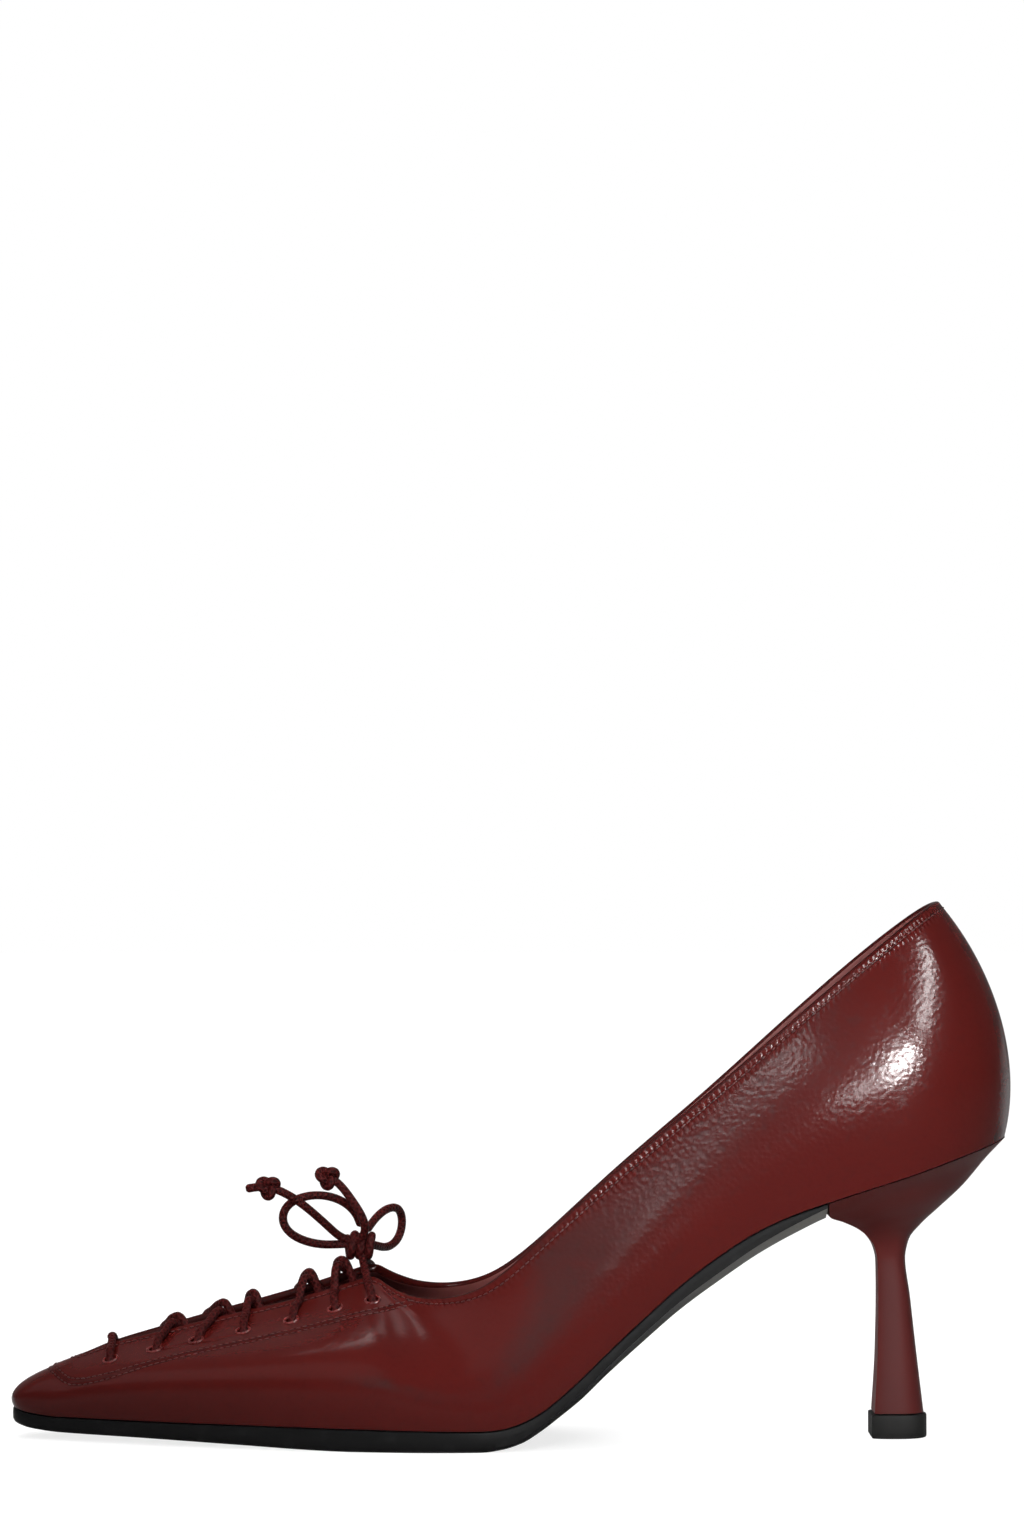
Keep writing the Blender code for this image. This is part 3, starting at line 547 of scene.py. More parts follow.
def wall_points(t, s):
    """Leather's outer surface for stations t and rows of wall parameters s."""
    row = loop_at(t)
    foot_plan_points, along, outward = foot_plan(t)
    foot = np.column_stack((foot_plan_points, bed_height(row[:, 0]) + GAP))
    top = row[:, 2:5]
    belly, belly_up, shoulder, shoulder_down = (row[:, c:c + 1] for c in range(5, 9))
    run = np.sum((top[:, :2] - foot[:, :2]) * along, axis=1, keepdims=True)
    lean = along * run / (top[:, 2:3] - foot[:, 2:3])
    low = foot + np.hstack((outward * belly + lean * belly_up, belly_up))
    high = top + np.hstack((outward * shoulder - lean * shoulder_down, -shoulder_down))
    s = s[..., None]
    r = 1 - s
    foot, low, high, top = (p[:, None, :] for p in (foot, low, high, top))
    return r ** 3 * foot + 3 * r * r * s * low + 3 * r * s * s * high + s ** 3 * top


def wall_normals(t, s):
    """Outward directions of the leather for the same stations and rows."""
    around = wall_points(t + DELTA, s) - wall_points(t - DELTA, s)
    up = wall_points(t, np.minimum(s + DELTA, 1.0)) - wall_points(t, np.maximum(s - DELTA, 0.0))
    normal = np.cross(around, up)
    return normal / np.linalg.norm(normal, axis=2, keepdims=True)


def at_setback(t, setback):
    """Wall parameters at lengths of leather below the top edge, one row for each station."""
    s = np.linspace(1.0, 0.0, ARC_STEPS + 1)
    points = wall_points(t, np.broadcast_to(s, (len(t), len(s))))
    lengths = np.linalg.norm(np.diff(points, axis=1), axis=2)
    walked = np.hstack((np.zeros((len(t), 1)), np.cumsum(lengths, axis=1)))
    return np.array([np.interp(want, row, s) for want, row in zip(setback, walked)]), walked[:, -1]


def side_station(t):
    """Station counted from the toe on either side."""
    return np.minimum(t % LOOP_COUNT, LOOP_COUNT - t % LOOP_COUNT)


def on_facing(inner, u, setback, lift=0.0):
    """Spot on a facing from its place along the shoe, lifted off the leather, and its normal."""
    low, high = FACING_STATIONS
    for _ in range(BISECT_STEPS):
        middle = (low + high) / 2
        t = np.array([LOOP_COUNT - middle if inner else middle])
        s, _ = at_setback(t, [[setback]])
        if wall_points(t, s)[0, 0, 0] < u:
            low = middle
        else:
            high = middle
    normal = wall_normals(t, s)[0, 0]
    return wall_points(t, s)[0, 0] + lift * normal, normal


def place(points):
    """Table millimetres to the model's frame in metres."""
    return (np.asarray(points, dtype=float) - np.array((CENTRE_U, CENTRE_Y, 0.0))) * MM


def station_of(u):
    """Station on the outer side where the feather line reaches a distance from the toe."""
    low = 0.0
    high = float(BACK_SEAM)
    for _ in range(BISECT_STEPS):
        middle = (low + high) / 2
        if loop_at(np.array([middle]))[0, 0] < u:
            low = middle
        else:
            high = middle
    return low


def outline_points(t, inset):
    """Points of the feather line in plan, moved inwards."""
    points, _, outward = foot_plan(np.atleast_1d(t))
    return points - outward * inset


class Wire:
    """A value in a finish's nodes: sums and products of wires add Math nodes."""

    def __init__(self, finish, socket):
        self.finish = finish
        self.socket = socket

    def __add__(self, other):
        return self.finish.math("ADD", self, other)

    def __radd__(self, other):
        return self.finish.math("ADD", other, self)

    def __sub__(self, other):
        return self.finish.math("SUBTRACT", self, other)

    def __rsub__(self, other):
        return self.finish.math("SUBTRACT", other, self)

    def __mul__(self, other):
        return self.finish.math("MULTIPLY", self, other)

    def __rmul__(self, other):
        return self.finish.math("MULTIPLY", other, self)

    def __truediv__(self, other):
        return self.finish.math("DIVIDE", self, other)

    def __abs__(self):
        return self.finish.math("ABSOLUTE", self)


class Finish:
    """A material with a Principled shader and the nodes that feed it."""

    mix_colours = (6, 7)
    mix_result = 2

    def __init__(self, name, **constants):
        self.material = bpy.data.materials.new(name)
        self.material.use_nodes = True
        self.tree = self.material.node_tree
        self.shader = self.tree.nodes["Principled BSDF"]
        for key, value in constants.items():
            socket = key.replace("_", " ").title().replace("Ior", "IOR")
            self.shader.inputs[socket].default_value = value
        self.spot = self.add("ShaderNodeTexCoord", output="Object")

    def add(self, kind, settings=None, inputs=None, output=0):
        """New node of a kind with its settings and its sockets' values or wires."""
        node = self.tree.nodes.new(kind)
        for key, value in (settings or {}).items():
            setattr(node, key, value)
        for key, value in (inputs or {}).items():
            if isinstance(value, Wire):
                self.tree.links.new(value.socket, node.inputs[key])
            else:
                node.inputs[key].default_value = value
        return Wire(self, node.outputs[output])

    def math(self, operation, *values):
        """Result of a Math node."""
        return self.add("ShaderNodeMath", {"operation": operation}, dict(enumerate(values)))

    def number(self, vector, axis):
        """One number of a vector."""
        return self.add("ShaderNodeSeparateXYZ", None, {0: vector}, axis)

    def surface_map(self, name):
        """Both numbers of one of the piece's own maps."""
        spot = self.add("ShaderNodeUVMap", {"uv_map": name})
        return self.number(spot, 0), self.number(spot, 1)

    def ramp(self, value, low, high, start=0.0, end=1.0):
        """Smooth step of a value between two limits."""
        inputs = {"Value": value, "From Min": low, "From Max": high, "To Min": start, "To Max": end}
        return self.add("ShaderNodeMapRange", {"interpolation_type": "SMOOTHSTEP"}, inputs)

    def band(self, value, centre, half_width):
        """One at the centre of a band, and nothing outside it."""
        return self.ramp(abs(value - centre), 0.0, half_width, 1.0, 0.0)

    def blend(self, factor, first, second):
        """Colour between two others, each a wire or plain numbers."""
        inputs = {0: factor}
        for index, colour in zip(self.mix_colours, (first, second)):
            inputs[index] = colour if isinstance(colour, Wire) else (*colour, 1.0)
        return self.add("ShaderNodeMix", {"data_type": "RGBA"}, inputs, self.mix_result)

    def noise(self, size, detail=2.0, stretch=0.0):
        """Soft noise whose patches have a size in millimetres."""
        inputs = {"Vector": self.spot, "Scale": 1 / (size * MM), "Detail": detail, "Distortion": stretch}
        return self.add("ShaderNodeTexNoise", None, inputs)

    def pebbles(self, size):
        """Rounded cells of a size in millimetres."""
        inputs = {"Vector": self.spot, "Scale": 1 / (size * MM)}
        return self.add("ShaderNodeTexVoronoi", {"feature": "SMOOTH_F1"}, inputs, "Distance")

    def feed(self, socket, wire):
        """Joins a wire to one of the shader's sockets."""
        self.tree.links.new(wire.socket, self.shader.inputs[socket])

    def bump(self, height, depth, strength):
        """Relief whose height of one stands for a depth in millimetres."""
        inputs = {"Height": height, "Distance": depth * MM, "Strength": strength}
        self.feed("Normal", self.add("ShaderNodeBump", None, inputs))


def make_object(name, mesh, material):
    """New smooth object from a mesh, in one material or a list of them."""
    mesh.materials.clear()
    for one in material if isinstance(material, (list, tuple)) else [material]:
        mesh.materials.append(one)
    mesh.shade_smooth()
    piece = bpy.data.objects.new(name, mesh)
    bpy.context.scene.collection.objects.link(piece)
    return piece


def add_mesh(name, points, faces, material, sharp=None):
    """New piece from points in millimetres and faces, with its faces turned outwards."""
    mesh = bpy.data.meshes.new(name)
    mesh.from_pydata([tuple(p) for p in place(points)], [], [tuple(int(i) for i in f) for f in faces])
    shape = bmesh.new()
    shape.from_mesh(mesh)
    bmesh.ops.recalc_face_normals(shape, faces=shape.faces)
    shape.to_mesh(mesh)
    shape.free()
    piece = make_object(name, mesh, material)
    if sharp is not None:
        mesh.set_sharp_from_angle(angle=math.radians(sharp))
    return piece


def add_map(mesh, name, first, second):
    """Map of two numbers for each corner of a mesh's faces."""
    layer = mesh.uv_layers.new(name=name)
    layer.data.foreach_set("uv", np.stack((first.reshape(-1), second.reshape(-1)), axis=1).reshape(-1))


def ring_faces(rings, ring):
    """Faces between neighbouring rings of points."""
    faces = []
    for k in range(rings - 1):
        for i in range(ring):
            j = (i + 1) % ring
            faces.append((k * ring + i, k * ring + j, (k + 1) * ring + j, (k + 1) * ring + i))
    return faces


def ladder(ring, first):
    """Faces that close a ring by joining each point to its partner on the other side."""
    return [
        (first + i, first + i + 1, first + ring - 2 - i, first + ring - 1 - i)
        for i in range(ring // 2 - 1)
    ]


def loft(name, rings, material, sharp):
    """Closed piece through rings of equal count, whose ends are closed side to side."""
    ring = len(rings[0])
    faces = ring_faces(len(rings), ring)
    faces += ladder(ring, 0)
    faces += ladder(ring, (len(rings) - 1) * ring)
    return add_mesh(name, np.vstack(rings), faces, material, sharp)


def tube(name, route, radius, material):
    """Braided cord along a route in millimetres, with a map of its length and its girth."""
    count = len(route)
    along = np.gradient(route, axis=0)
    along = along / np.linalg.norm(along, axis=1, keepdims=True)
    side = np.cross(along[0], (0.0, 0.0, 1.0))
    if np.linalg.norm(side) < DELTA:
        side = np.array((0.0, 1.0, 0.0))
    points = []
    shrink = np.ones(count)
    for k, share in enumerate(LACE_TIP_SHARES):
        shrink[[k, -1 - k]] = share
    angles = np.linspace(0.0, 2 * math.pi, LACE_SIDES, endpoint=False)
    for k in range(count):
        side = side - along[k] * np.dot(side, along[k])
        side = side / np.linalg.norm(side)
        other = np.cross(along[k], side)
        spokes = np.cos(angles)[:, None] * side + np.sin(angles)[:, None] * other
        points.append(route[k] + radius * shrink[k] * spokes)
    faces = ring_faces(count, LACE_SIDES)
    faces.append(tuple(range(LACE_SIDES)))
    faces.append(tuple((count - 1) * LACE_SIDES + i for i in range(LACE_SIDES)))
    walked = lengths_walked(route)
    piece = add_mesh(name, np.vstack(points), faces, material)
    girth = piece.data.uv_layers.new(name="cord")
    for polygon in piece.data.polygons:
        turns = [piece.data.loops[i].vertex_index % LACE_SIDES for i in polygon.loop_indices]
        wraps = max(turns) - min(turns) > LACE_SIDES // 2
        for loop, turn in zip(polygon.loop_indices, turns):
            ring = piece.data.loops[loop].vertex_index // LACE_SIDES
            full = turn + LACE_SIDES if wraps and turn < LACE_SIDES // 2 else turn
            girth.data[loop].uv = (walked[ring], full / LACE_SIDES)
    return piece


def realised(name, source, tree, values, material):
    """Plain mesh of a Geometry Nodes tree run on a source piece, which is then removed."""
    modifier = source.modifiers.new(tree.name, "NODES")
    modifier.node_group = tree
    for item in tree.interface.items_tree:
        if item.in_out == "INPUT" and item.name in values:
            modifier[item.identifier] = values[item.name]
    graph = bpy.context.evaluated_depsgraph_get()
    mesh = bpy.data.meshes.new_from_object(source.evaluated_get(graph))
    source.modifiers.remove(modifier)
    bpy.data.objects.remove(source)
    mesh.name = name
    return make_object(name, mesh, material)


class Nodes:
    """A Geometry Nodes tree with named inputs, built one node at a time."""

    def __init__(self, name, inputs):
        self.tree = bpy.data.node_groups.new(name, "GeometryNodeTree")
        self.tree.interface.new_socket("Geometry", in_out="INPUT", socket_type="NodeSocketGeometry")
        for label, kind in inputs:
            self.tree.interface.new_socket(label, in_out="INPUT", socket_type="NodeSocket" + kind)
        self.tree.interface.new_socket("Geometry", in_out="OUTPUT", socket_type="NodeSocketGeometry")
        self.given = self.tree.nodes.new("NodeGroupInput")

    def add(self, kind, settings=None, inputs=None):
        """New node of a kind with its settings and its sockets' values or links."""
        node = self.tree.nodes.new(kind)
        for key, value in (settings or {}).items():
            setattr(node, key, value)
        for key, value in (inputs or {}).items():
            if isinstance(value, bpy.types.NodeSocket):
                self.tree.links.new(value, node.inputs[key])
            else:
                node.inputs[key].default_value = value
        return node

    def close(self, instances):
        """Ends the tree with real geometry in the material that the tree is given."""
        real = self.add("GeometryNodeRealizeInstances", None, {0: instances})
        inputs = {"Geometry": real.outputs[0], "Material": self.given.outputs["Material"]}
        dressed = self.add("GeometryNodeSetMaterial", None, inputs)
        self.add("NodeGroupOutput", None, {0: dressed.outputs[0]})
        return self.tree


def stitch_row_tree():
    """Short rounded stitches at even steps along the edges of a path."""
    nodes = Nodes(
        "Stitch row",
        (("Spacing", "Float"), ("Length", "Float"), ("Thickness", "Float"), ("Material", "Material")),
    )
    given = nodes.given.outputs
    path = nodes.add("GeometryNodeMeshToCurve", None, {"Mesh": given["Geometry"]})
    steps = {"Curve": path.outputs[0], "Length": given["Spacing"]}
    marks = nodes.add("GeometryNodeResampleCurve", {"mode": "LENGTH"}, steps)
    sizes = {0: given["Length"], 1: given["Thickness"], 2: given["Thickness"]}
    size = nodes.add("ShaderNodeCombineXYZ", None, sizes)
    unit_bead = {"Segments": STITCH_SIDES, "Rings": STITCH_SIDES, "Radius": 0.5}
    bead = nodes.add("GeometryNodeMeshUVSphere", None, unit_bead)
    stitch = nodes.add("GeometryNodeTransform", None, {"Geometry": bead.outputs[0], "Scale": size.outputs[0]})
    tangent = nodes.add("GeometryNodeInputTangent")
    turn = nodes.add("FunctionNodeAlignRotationToVector", {"axis": "X"}, {"Vector": tangent.outputs[0]})
    stitches = {"Points": marks.outputs[0], "Instance": stitch.outputs[0], "Rotation": turn.outputs[0]}
    row = nodes.add("GeometryNodeInstanceOnPoints", None, stitches)
    return nodes.close(row.outputs[0])


def eyelet_rim_tree():
    """A rolled rim round each eyelet, facing the way that its point's arrow gives."""
    nodes = Nodes("Eyelet rims", (("Radius", "Float"), ("Roll", "Float"), ("Material", "Material")))
    given = nodes.given.outputs
    rounds = []
    for steps, radius in ((RIM_STEPS, "Radius"), (RIM_ROLL_STEPS, "Roll")):
        values = {"Resolution": steps, "Radius": given[radius]}
        rounds.append(nodes.add("GeometryNodeCurvePrimitiveCircle", None, values).outputs[0])
    rim = nodes.add("GeometryNodeCurveToMesh", None, {"Curve": rounds[0], "Profile Curve": rounds[1]})
    arrow = nodes.add("GeometryNodeInputNamedAttribute", {"data_type": "FLOAT_VECTOR"}, {"Name": "arrow"})
    turn = nodes.add("FunctionNodeAlignRotationToVector", {"axis": "Z"}, {"Vector": arrow.outputs[0]})
    spots = {"Points": given["Geometry"], "Instance": rim.outputs[0], "Rotation": turn.outputs[0]}
    rims = nodes.add("GeometryNodeInstanceOnPoints", None, spots)
    return nodes.close(rims.outputs[0])


def length_property(name, description, millimetres):
    """Size that is shown as a length."""
    length = millimetres * MM
    return FloatProperty(name=name, description=description, default=length, unit="LENGTH", precision=5)


def colour_property(name, description, colour):
    """Colour that is shown as a swatch."""
    return FloatVectorProperty(
        name=name, description=description, default=colour, size=3, subtype="COLOR", min=0.0, max=1.0
    )


class PumpSizes(bpy.types.PropertyGroup):
    """Sizes of the finished pieces"""

    wall: length_property("Wall", "Thickness of the leather with its lining", 1.8)
    lace: length_property("Lace", "Diameter of the braided lace", 2.0)
    eyelet: length_property("Eyelet", "Diameter of the punched eyelets", 2.9)
    eyelet_roll: length_property("Eyelet roll", "Radius of the rolled rim round an eyelet", 0.3)
    stitch_spacing: length_property("Stitch spacing", "Step from one stitch to the next", 1.55)
    stitch_length: length_property("Stitch length", "Length of one stitch", 1.15)
    stitch_thickness: length_property("Stitch thickness", "Thickness of the sewing thread", 0.36)
    edge_row: length_property("Edge row", "Distance of the edge stitching from the top edge", 2.4)
    seam_row: length_property("Seam row", "Half of the distance between the seam's two rows", 0.75)
    seam_step: length_property("Seam step", "Height of the facing's cut edge above the vamp", 0.26)
    pebble: length_property("Pebble", "Size of the leather's grain", 1.05)


class PumpColours(bpy.types.PropertyGroup):
    """Colours of the finishes"""

    leather: colour_property("Leather", "Polished burgundy leather", (0.054, 0.0050, 0.0041))
    # Painted shade in the grain's hollows and in the stitch and seam grooves; the same colour also darkens
    # the top edge.
    leather_edge_and_painted_shade: colour_property("Leather, deep", "Leather in creases and at edges", (0.018, 0.0020, 0.0018))
    heel: colour_property("Heel cover", "Satin leather on the heel", (0.070, 0.0110, 0.0100))
    lining: colour_property("Lining", "Leather inside the shoe", (0.115, 0.032, 0.029))
    sock: colour_property("Sock", "Leather sock on the insole", (0.078, 0.0250, 0.0220))
    sole: colour_property("Sole", "Black edge of the outsole", (0.0045, 0.0045, 0.0047))
    under: colour_property("Underside", "Grey underside of the outsole", (0.20, 0.198, 0.182))
    rubber: colour_property("Top piece", "Black rubber under the heel", (0.006, 0.006, 0.0056))
    lace: colour_property("Lace", "Waxed braided lace", (0.024, 0.0022, 0.0021))
    # Painted highlight on the lace's raised strands.
    lace_painted_highlight: colour_property("Lace, light", "Raised strands of the lace", (0.054, 0.0068, 0.0064))
    thread: colour_property("Thread", "Sewing thread", (0.066, 0.0120, 0.0110))
    floor: colour_property("Floor", "Pale studio floor", (0.95, 0.95, 0.95))


def tint(colour, share):
    """A colour made lighter or darker by a share."""
    return tuple(share * c for c in colour)


def polished_leather(scene):
    """Polished leather with a fine pebbled grain, puckered beside its stitching, with painted shade darkening
    the grain's hollows and the stitching's grooves, and a darker top edge.
    """
    sizes = scene.pump_sizes
    colours = scene.pump_colours
    look = Finish("polished_leather", specular_ior_level=LEATHER_SPECULAR)
    along, below = look.surface_map("leather")
    from_seam, seam_here = look.surface_map("seam")
    grain = look.pebbles(sizes.pebble / MM)
    fine = look.noise(FINE_SIZE, LEATHER_DETAIL)
    drift = look.noise(DRIFT_SIZE, LEATHER_DETAIL)
    wrinkle = look.noise(WRINKLE_SIZE, LEATHER_DETAIL, WRINKLE_STRETCH)
    edge_row = sizes.edge_row / MM
    stitch_turn = 2 * math.pi / (sizes.stitch_spacing / MM)
    gather = look.math("SINE", along * stitch_turn) * look.band(below, edge_row, GATHER_REACH)
    # Grooves of the stitching and the seam: hollowed by the relief and darkened as painted shade.
    grooves = look.band(below, edge_row, GROOVE_REACH)
    seam_grooves = look.band(abs(from_seam), sizes.seam_row / MM, SEAM_GROOVE_REACH) * seam_here
    cut_edge = look.band(from_seam, 0.0, CUT_EDGE_REACH) * seam_here
    edge = look.ramp(below, *EDGE_DEPTH, 1.0, 0.0)
    near_edge = look.ramp(below, *NEAR_EDGE, 1.0, 0.0)
    shade = look.ramp(drift, *DRIFT_RANGE)
    crevice = look.ramp(grain, *GRAIN_HOLLOW_RANGE)
    share = LEATHER_SHADE
    tone = look.blend(shade * share.drift, colours.leather, tint(colours.leather, LEATHER_LIGHT))
    # Painted shade: the grain's hollows are darkened.
    tone = look.blend(crevice * share.crevice, tone, colours.leather_edge_and_painted_shade)
    # The last millimetre below the top edge is darker; the stitch and seam grooves get painted shade, and the
    # facing's cut edge a dark line.
    deep = edge * share.edge
    painted_groove_shades = (grooves * share.groove, seam_grooves * share.seam_groove, cut_edge * share.cut_edge)
    for groove in painted_groove_shades:
        deep = look.math("MAXIMUM", deep, groove)
    look.feed("Base Color", look.blend(deep, tone, colours.leather_edge_and_painted_shade))
    rough = LEATHER_ROUGHNESS
    look.feed("Roughness", rough.base + rough.fine * fine + rough.broad * crevice)
    relief = LEATHER_RELIEF
    height = fine * relief.fine - grain * relief.grain + gather * relief.gather
    height = height + wrinkle * (relief.wrinkle + relief.edge_wrinkle * near_edge)
    height = height - grooves * relief.groove - seam_grooves * relief.seam_groove
    look.bump(height, relief.depth, relief.strength)
    return look.material


def pebbled_leather(name, colour):
    """Plain leather whose colour and gloss drift a little, with a pebbled grain."""
    row = PEBBLED_LEATHERS[name]
    look = Finish(name, specular_ior_level=row.specular)
    drift = look.noise(row.drift, row.detail)
    look.feed("Base Color", look.blend(drift, tint(colour, row.dark), tint(colour, row.light)))
    look.feed("Roughness", row.rough + row.uneven * drift)
    look.bump(look.pebbles(row.grain), row.depth, row.strength)
    return look.material


def fine_finish(name, colour):
    """Finish with a fine texture in its gloss and its relief, and the texture."""
    row = FINE_FINISHES[name]
    look = Finish(name, specular_ior_level=row.specular)
    fine = look.noise(row.fine, row.detail)
    drift = look.noise(row.drift, row.detail)
    look.feed("Base Color", look.blend(drift, tint(colour, row.dark), tint(colour, row.light)))
    look.feed("Roughness", row.rough + row.uneven * fine)
    look.bump(fine, row.depth, row.strength)
    return look, fine


def lining_leather(scene):
    """Matt lining leather."""
    return pebbled_leather("lining_leather", scene.pump_colours.lining)


def satin_heel_leather(scene):
    """Satin leather stretched over the heel."""
    return pebbled_leather("satin_heel_leather", scene.pump_colours.heel)


def soft_sock(scene):
    """Soft leather sock over the insole board."""
    return pebbled_leather("soft_sock", scene.pump_colours.sock)


def moulded_rubber(scene):
    """Matt black rubber with a moulded grain."""
    look, _ = fine_finish("moulded_rubber", scene.pump_colours.rubber)
    return look.material


def thread(scene):
    """Twisted sewing thread."""
    look, _ = fine_finish("thread", scene.pump_colours.thread)
    return look.material


def eyelet_leather_painted_highlight(scene):
    """Waxed leather of the eyelets' rims, painted lighter than the upper's leather as a highlight."""
    look, fine = fine_finish("eyelet_leather_painted_highlight", scene.pump_colours.leather)
    look.shader.inputs["Coat Roughness"].default_value = RIM_COAT_ROUGHNESS
    look.feed("Coat Weight", RIM_COAT + RIM_COAT_UNEVEN * fine)
    return look.material


def buffed_sole(scene):
    """Outsole with a buffed black edge and a grey underside."""
    colours = scene.pump_colours
    look = Finish("buffed_sole", specular_ior_level=SOLE_SPECULAR)
    normal = look.add("ShaderNodeNewGeometry", output="True Normal")
    waist = look.ramp(look.number(look.spot, 0), *WAIST_SPAN)
    down = look.ramp(look.number(normal, 2) + TREAD_TILT * (1.0 - waist), *UNDER_TILT, 1.0, 0.0)
    scuff = look.noise(SCUFF_SIZE, SCUFF_DETAIL)
    fine = look.noise(SOLE_FINE_SIZE)
    worn = look.ramp(scuff, *SCUFF_RANGE) * SCUFF_SHARE
    edge = look.blend(worn, colours.sole, tint(colours.sole, SCUFF_LIGHT))
    under = look.blend(scuff, colours.under, tint(colours.under, UNDER_DARK))
    look.feed("Base Color", look.blend(down, edge, under))
    rough = SOLE_ROUGHNESS
    look.feed("Roughness", rough.base + rough.fine * fine + rough.broad * down)
    look.bump(fine, SOLE_RELIEF_DEPTH, SOLE_RELIEF_STRENGTH)
    return look.material


def waxed_braid(scene):
    """Round waxed braid: two families of strands that cross over each other, its raised strands painted
    lighter as a highlight and the hollows between them darker as painted shade.
    """
    colours = scene.pump_colours
    look = Finish("waxed_braid", specular_ior_level=BRAID_SPECULAR)
    along, around = look.surface_map("cord")
    turns = around * (2 * math.pi * BRAID_STRANDS)
    run = along * (2 * math.pi / BRAID_TURN)
    strands = look.math("MAXIMUM", look.math("SINE", run + turns), look.math("SINE", run - turns))
    fibre = look.noise(FIBRE_SIZE, FIBRE_DETAIL)
    painted_strand_highlight = look.ramp(strands, *PAINTED_STRAND_RANGE)
    # Painted highlight on the raised strands, painted shade between them.
    look.feed("Base Color", look.blend(painted_strand_highlight, colours.lace, colours.lace_painted_highlight))
    look.feed("Roughness", BRAID_ROUGHNESS + BRAID_UNEVEN * fibre)
    look.bump(strands + fibre * FIBRE_RELIEF, BRAID_RELIEF_DEPTH, BRAID_RELIEF_STRENGTH)
    return look.material


def pale_floor(scene):
    """Matt floor that looks white to the camera and gives less light to the shoe."""
    look = Finish("floor", specular_ior_level=0.0, emission_strength=1.0)
    seen = look.add("ShaderNodeLightPath", output="Is Camera Ray")
    pale = scene.pump_colours.floor
    tone = look.blend(seen, tint(pale, FLOOR_BOUNCE), tint(pale, FLOOR_SHADOWED))
    look.feed("Base Color", tone)
    look.feed("Emission Color", look.blend(seen, BLACK, tint(pale, FLOOR_GLOW)))
    look.feed("Roughness", FLOOR_ROUGHNESS + FLOOR_UNEVEN * look.noise(FLOOR_MOTTLE))
    return look.material


FINISHES = {
    "polished_leather": polished_leather,
    "lining_leather": lining_leather,
    "satin_heel_leather": satin_heel_leather,
    "soft_sock": soft_sock,
    "moulded_rubber": moulded_rubber,
    "thread": thread,
    "eyelet_leather_painted_highlight": eyelet_leather_painted_highlight,
    "buffed_sole": buffed_sole,
    "waxed_braid": waxed_braid,
    "floor": pale_floor,
}


def finished(name, scene):
    """The finish of that name, made on its first use."""
    return bpy.data.materials.get(name) or FINISHES[name](scene)


def settle(piece, slot, *nodes):
    """Fastens a finished piece to the shoe, in place of the solids that it stands for."""
    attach(piece, "root")
    if nodes:
        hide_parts(*nodes)
    return piece


def eased(route, passes):
    """Route with its bends evened out and its ends kept."""
    for _ in range(passes):
        route[1:-1] = (route[:-2] + 2 * route[1:-1] + route[2:]) / 4
    return route


def end_knot_route(centre):
    """Route of the small overhand knot at a lace's end."""
    turn = np.linspace(0.0, 2 * math.pi, END_KNOT_POINTS)
    along = np.sin(turn) + 2 * np.sin(2 * turn)
    deep = END_KNOT_DEPTH * np.sin(3 * turn)
    up = np.cos(turn) - 2 * np.cos(2 * turn)
    return np.array(centre) + END_KNOT_SCALE * np.stack((along, deep, up), axis=1)


def wrap_route():
    """Route of the coil that ties the bow."""
    turn = np.linspace(0.0, 2 * math.pi * KNOT_TURNS, KNOT_POINTS)
    along = KNOT_PITCH * (turn / (2 * math.pi) - KNOT_TURNS / 2)
    deep = KNOT_COIL_RADIUS * np.sin(turn + KNOT_START)
    up = KNOT_COIL_RADIUS * np.cos(turn + KNOT_START)
    return np.array(KNOT_CENTRE) + np.stack((along, deep, up), axis=1)


class PUMP_OT_bow(bpy.types.Operator):
    """Bow: two loops, two ends with stopper knots, and the knot that ties them"""

    bl_idname = "pump.bow"
    bl_label = "Bow"

    def execute(self, context):
        braid = finished("waxed_braid", context.scene)
        diameter = context.scene.pump_sizes.lace
        radius = diameter / MM / 2
        stops = []
        for name, spot in (("lace_stop_front", END_KNOT_FRONT), ("lace_stop_back", END_KNOT_BACK)):
            stop = tube(name, end_knot_route(spot), END_KNOT_FULLNESS * radius, braid)
            stops.append(settle(stop, "lace_cord"))
        wrap = tube("lace_wrap", wrap_route(), KNOT_FULLNESS * radius, braid)
        settle(wrap, "lace_cord", "lace_knot")
        front = [*LOOP_FRONT[::-1], *THROUGH_FRONT, *END_BACK]
        back = [*LOOP_BACK, *THROUGH_BACK, *END_FRONT]
        front_nodes = ("lace_loop_front", "lace_end_back")
        back_nodes = ("lace_loop_back", "lace_end_front")
        cords = (
            ("lace_bow_front", front, BOW_FRONT_LENGTH, [stops[1], wrap], front_nodes),
            ("lace_bow_back", back, BOW_BACK_LENGTH, [stops[0]], back_nodes),
        )
        for name, points, length, pieces, nodes in cords:
            route = eased(smooth_route(points, LACE_ROUTE_STEP), BOW_EASING)
            piece = settle(tube(name, route, radius, braid), "lace_cord", *nodes)
        return {"FINISHED"}


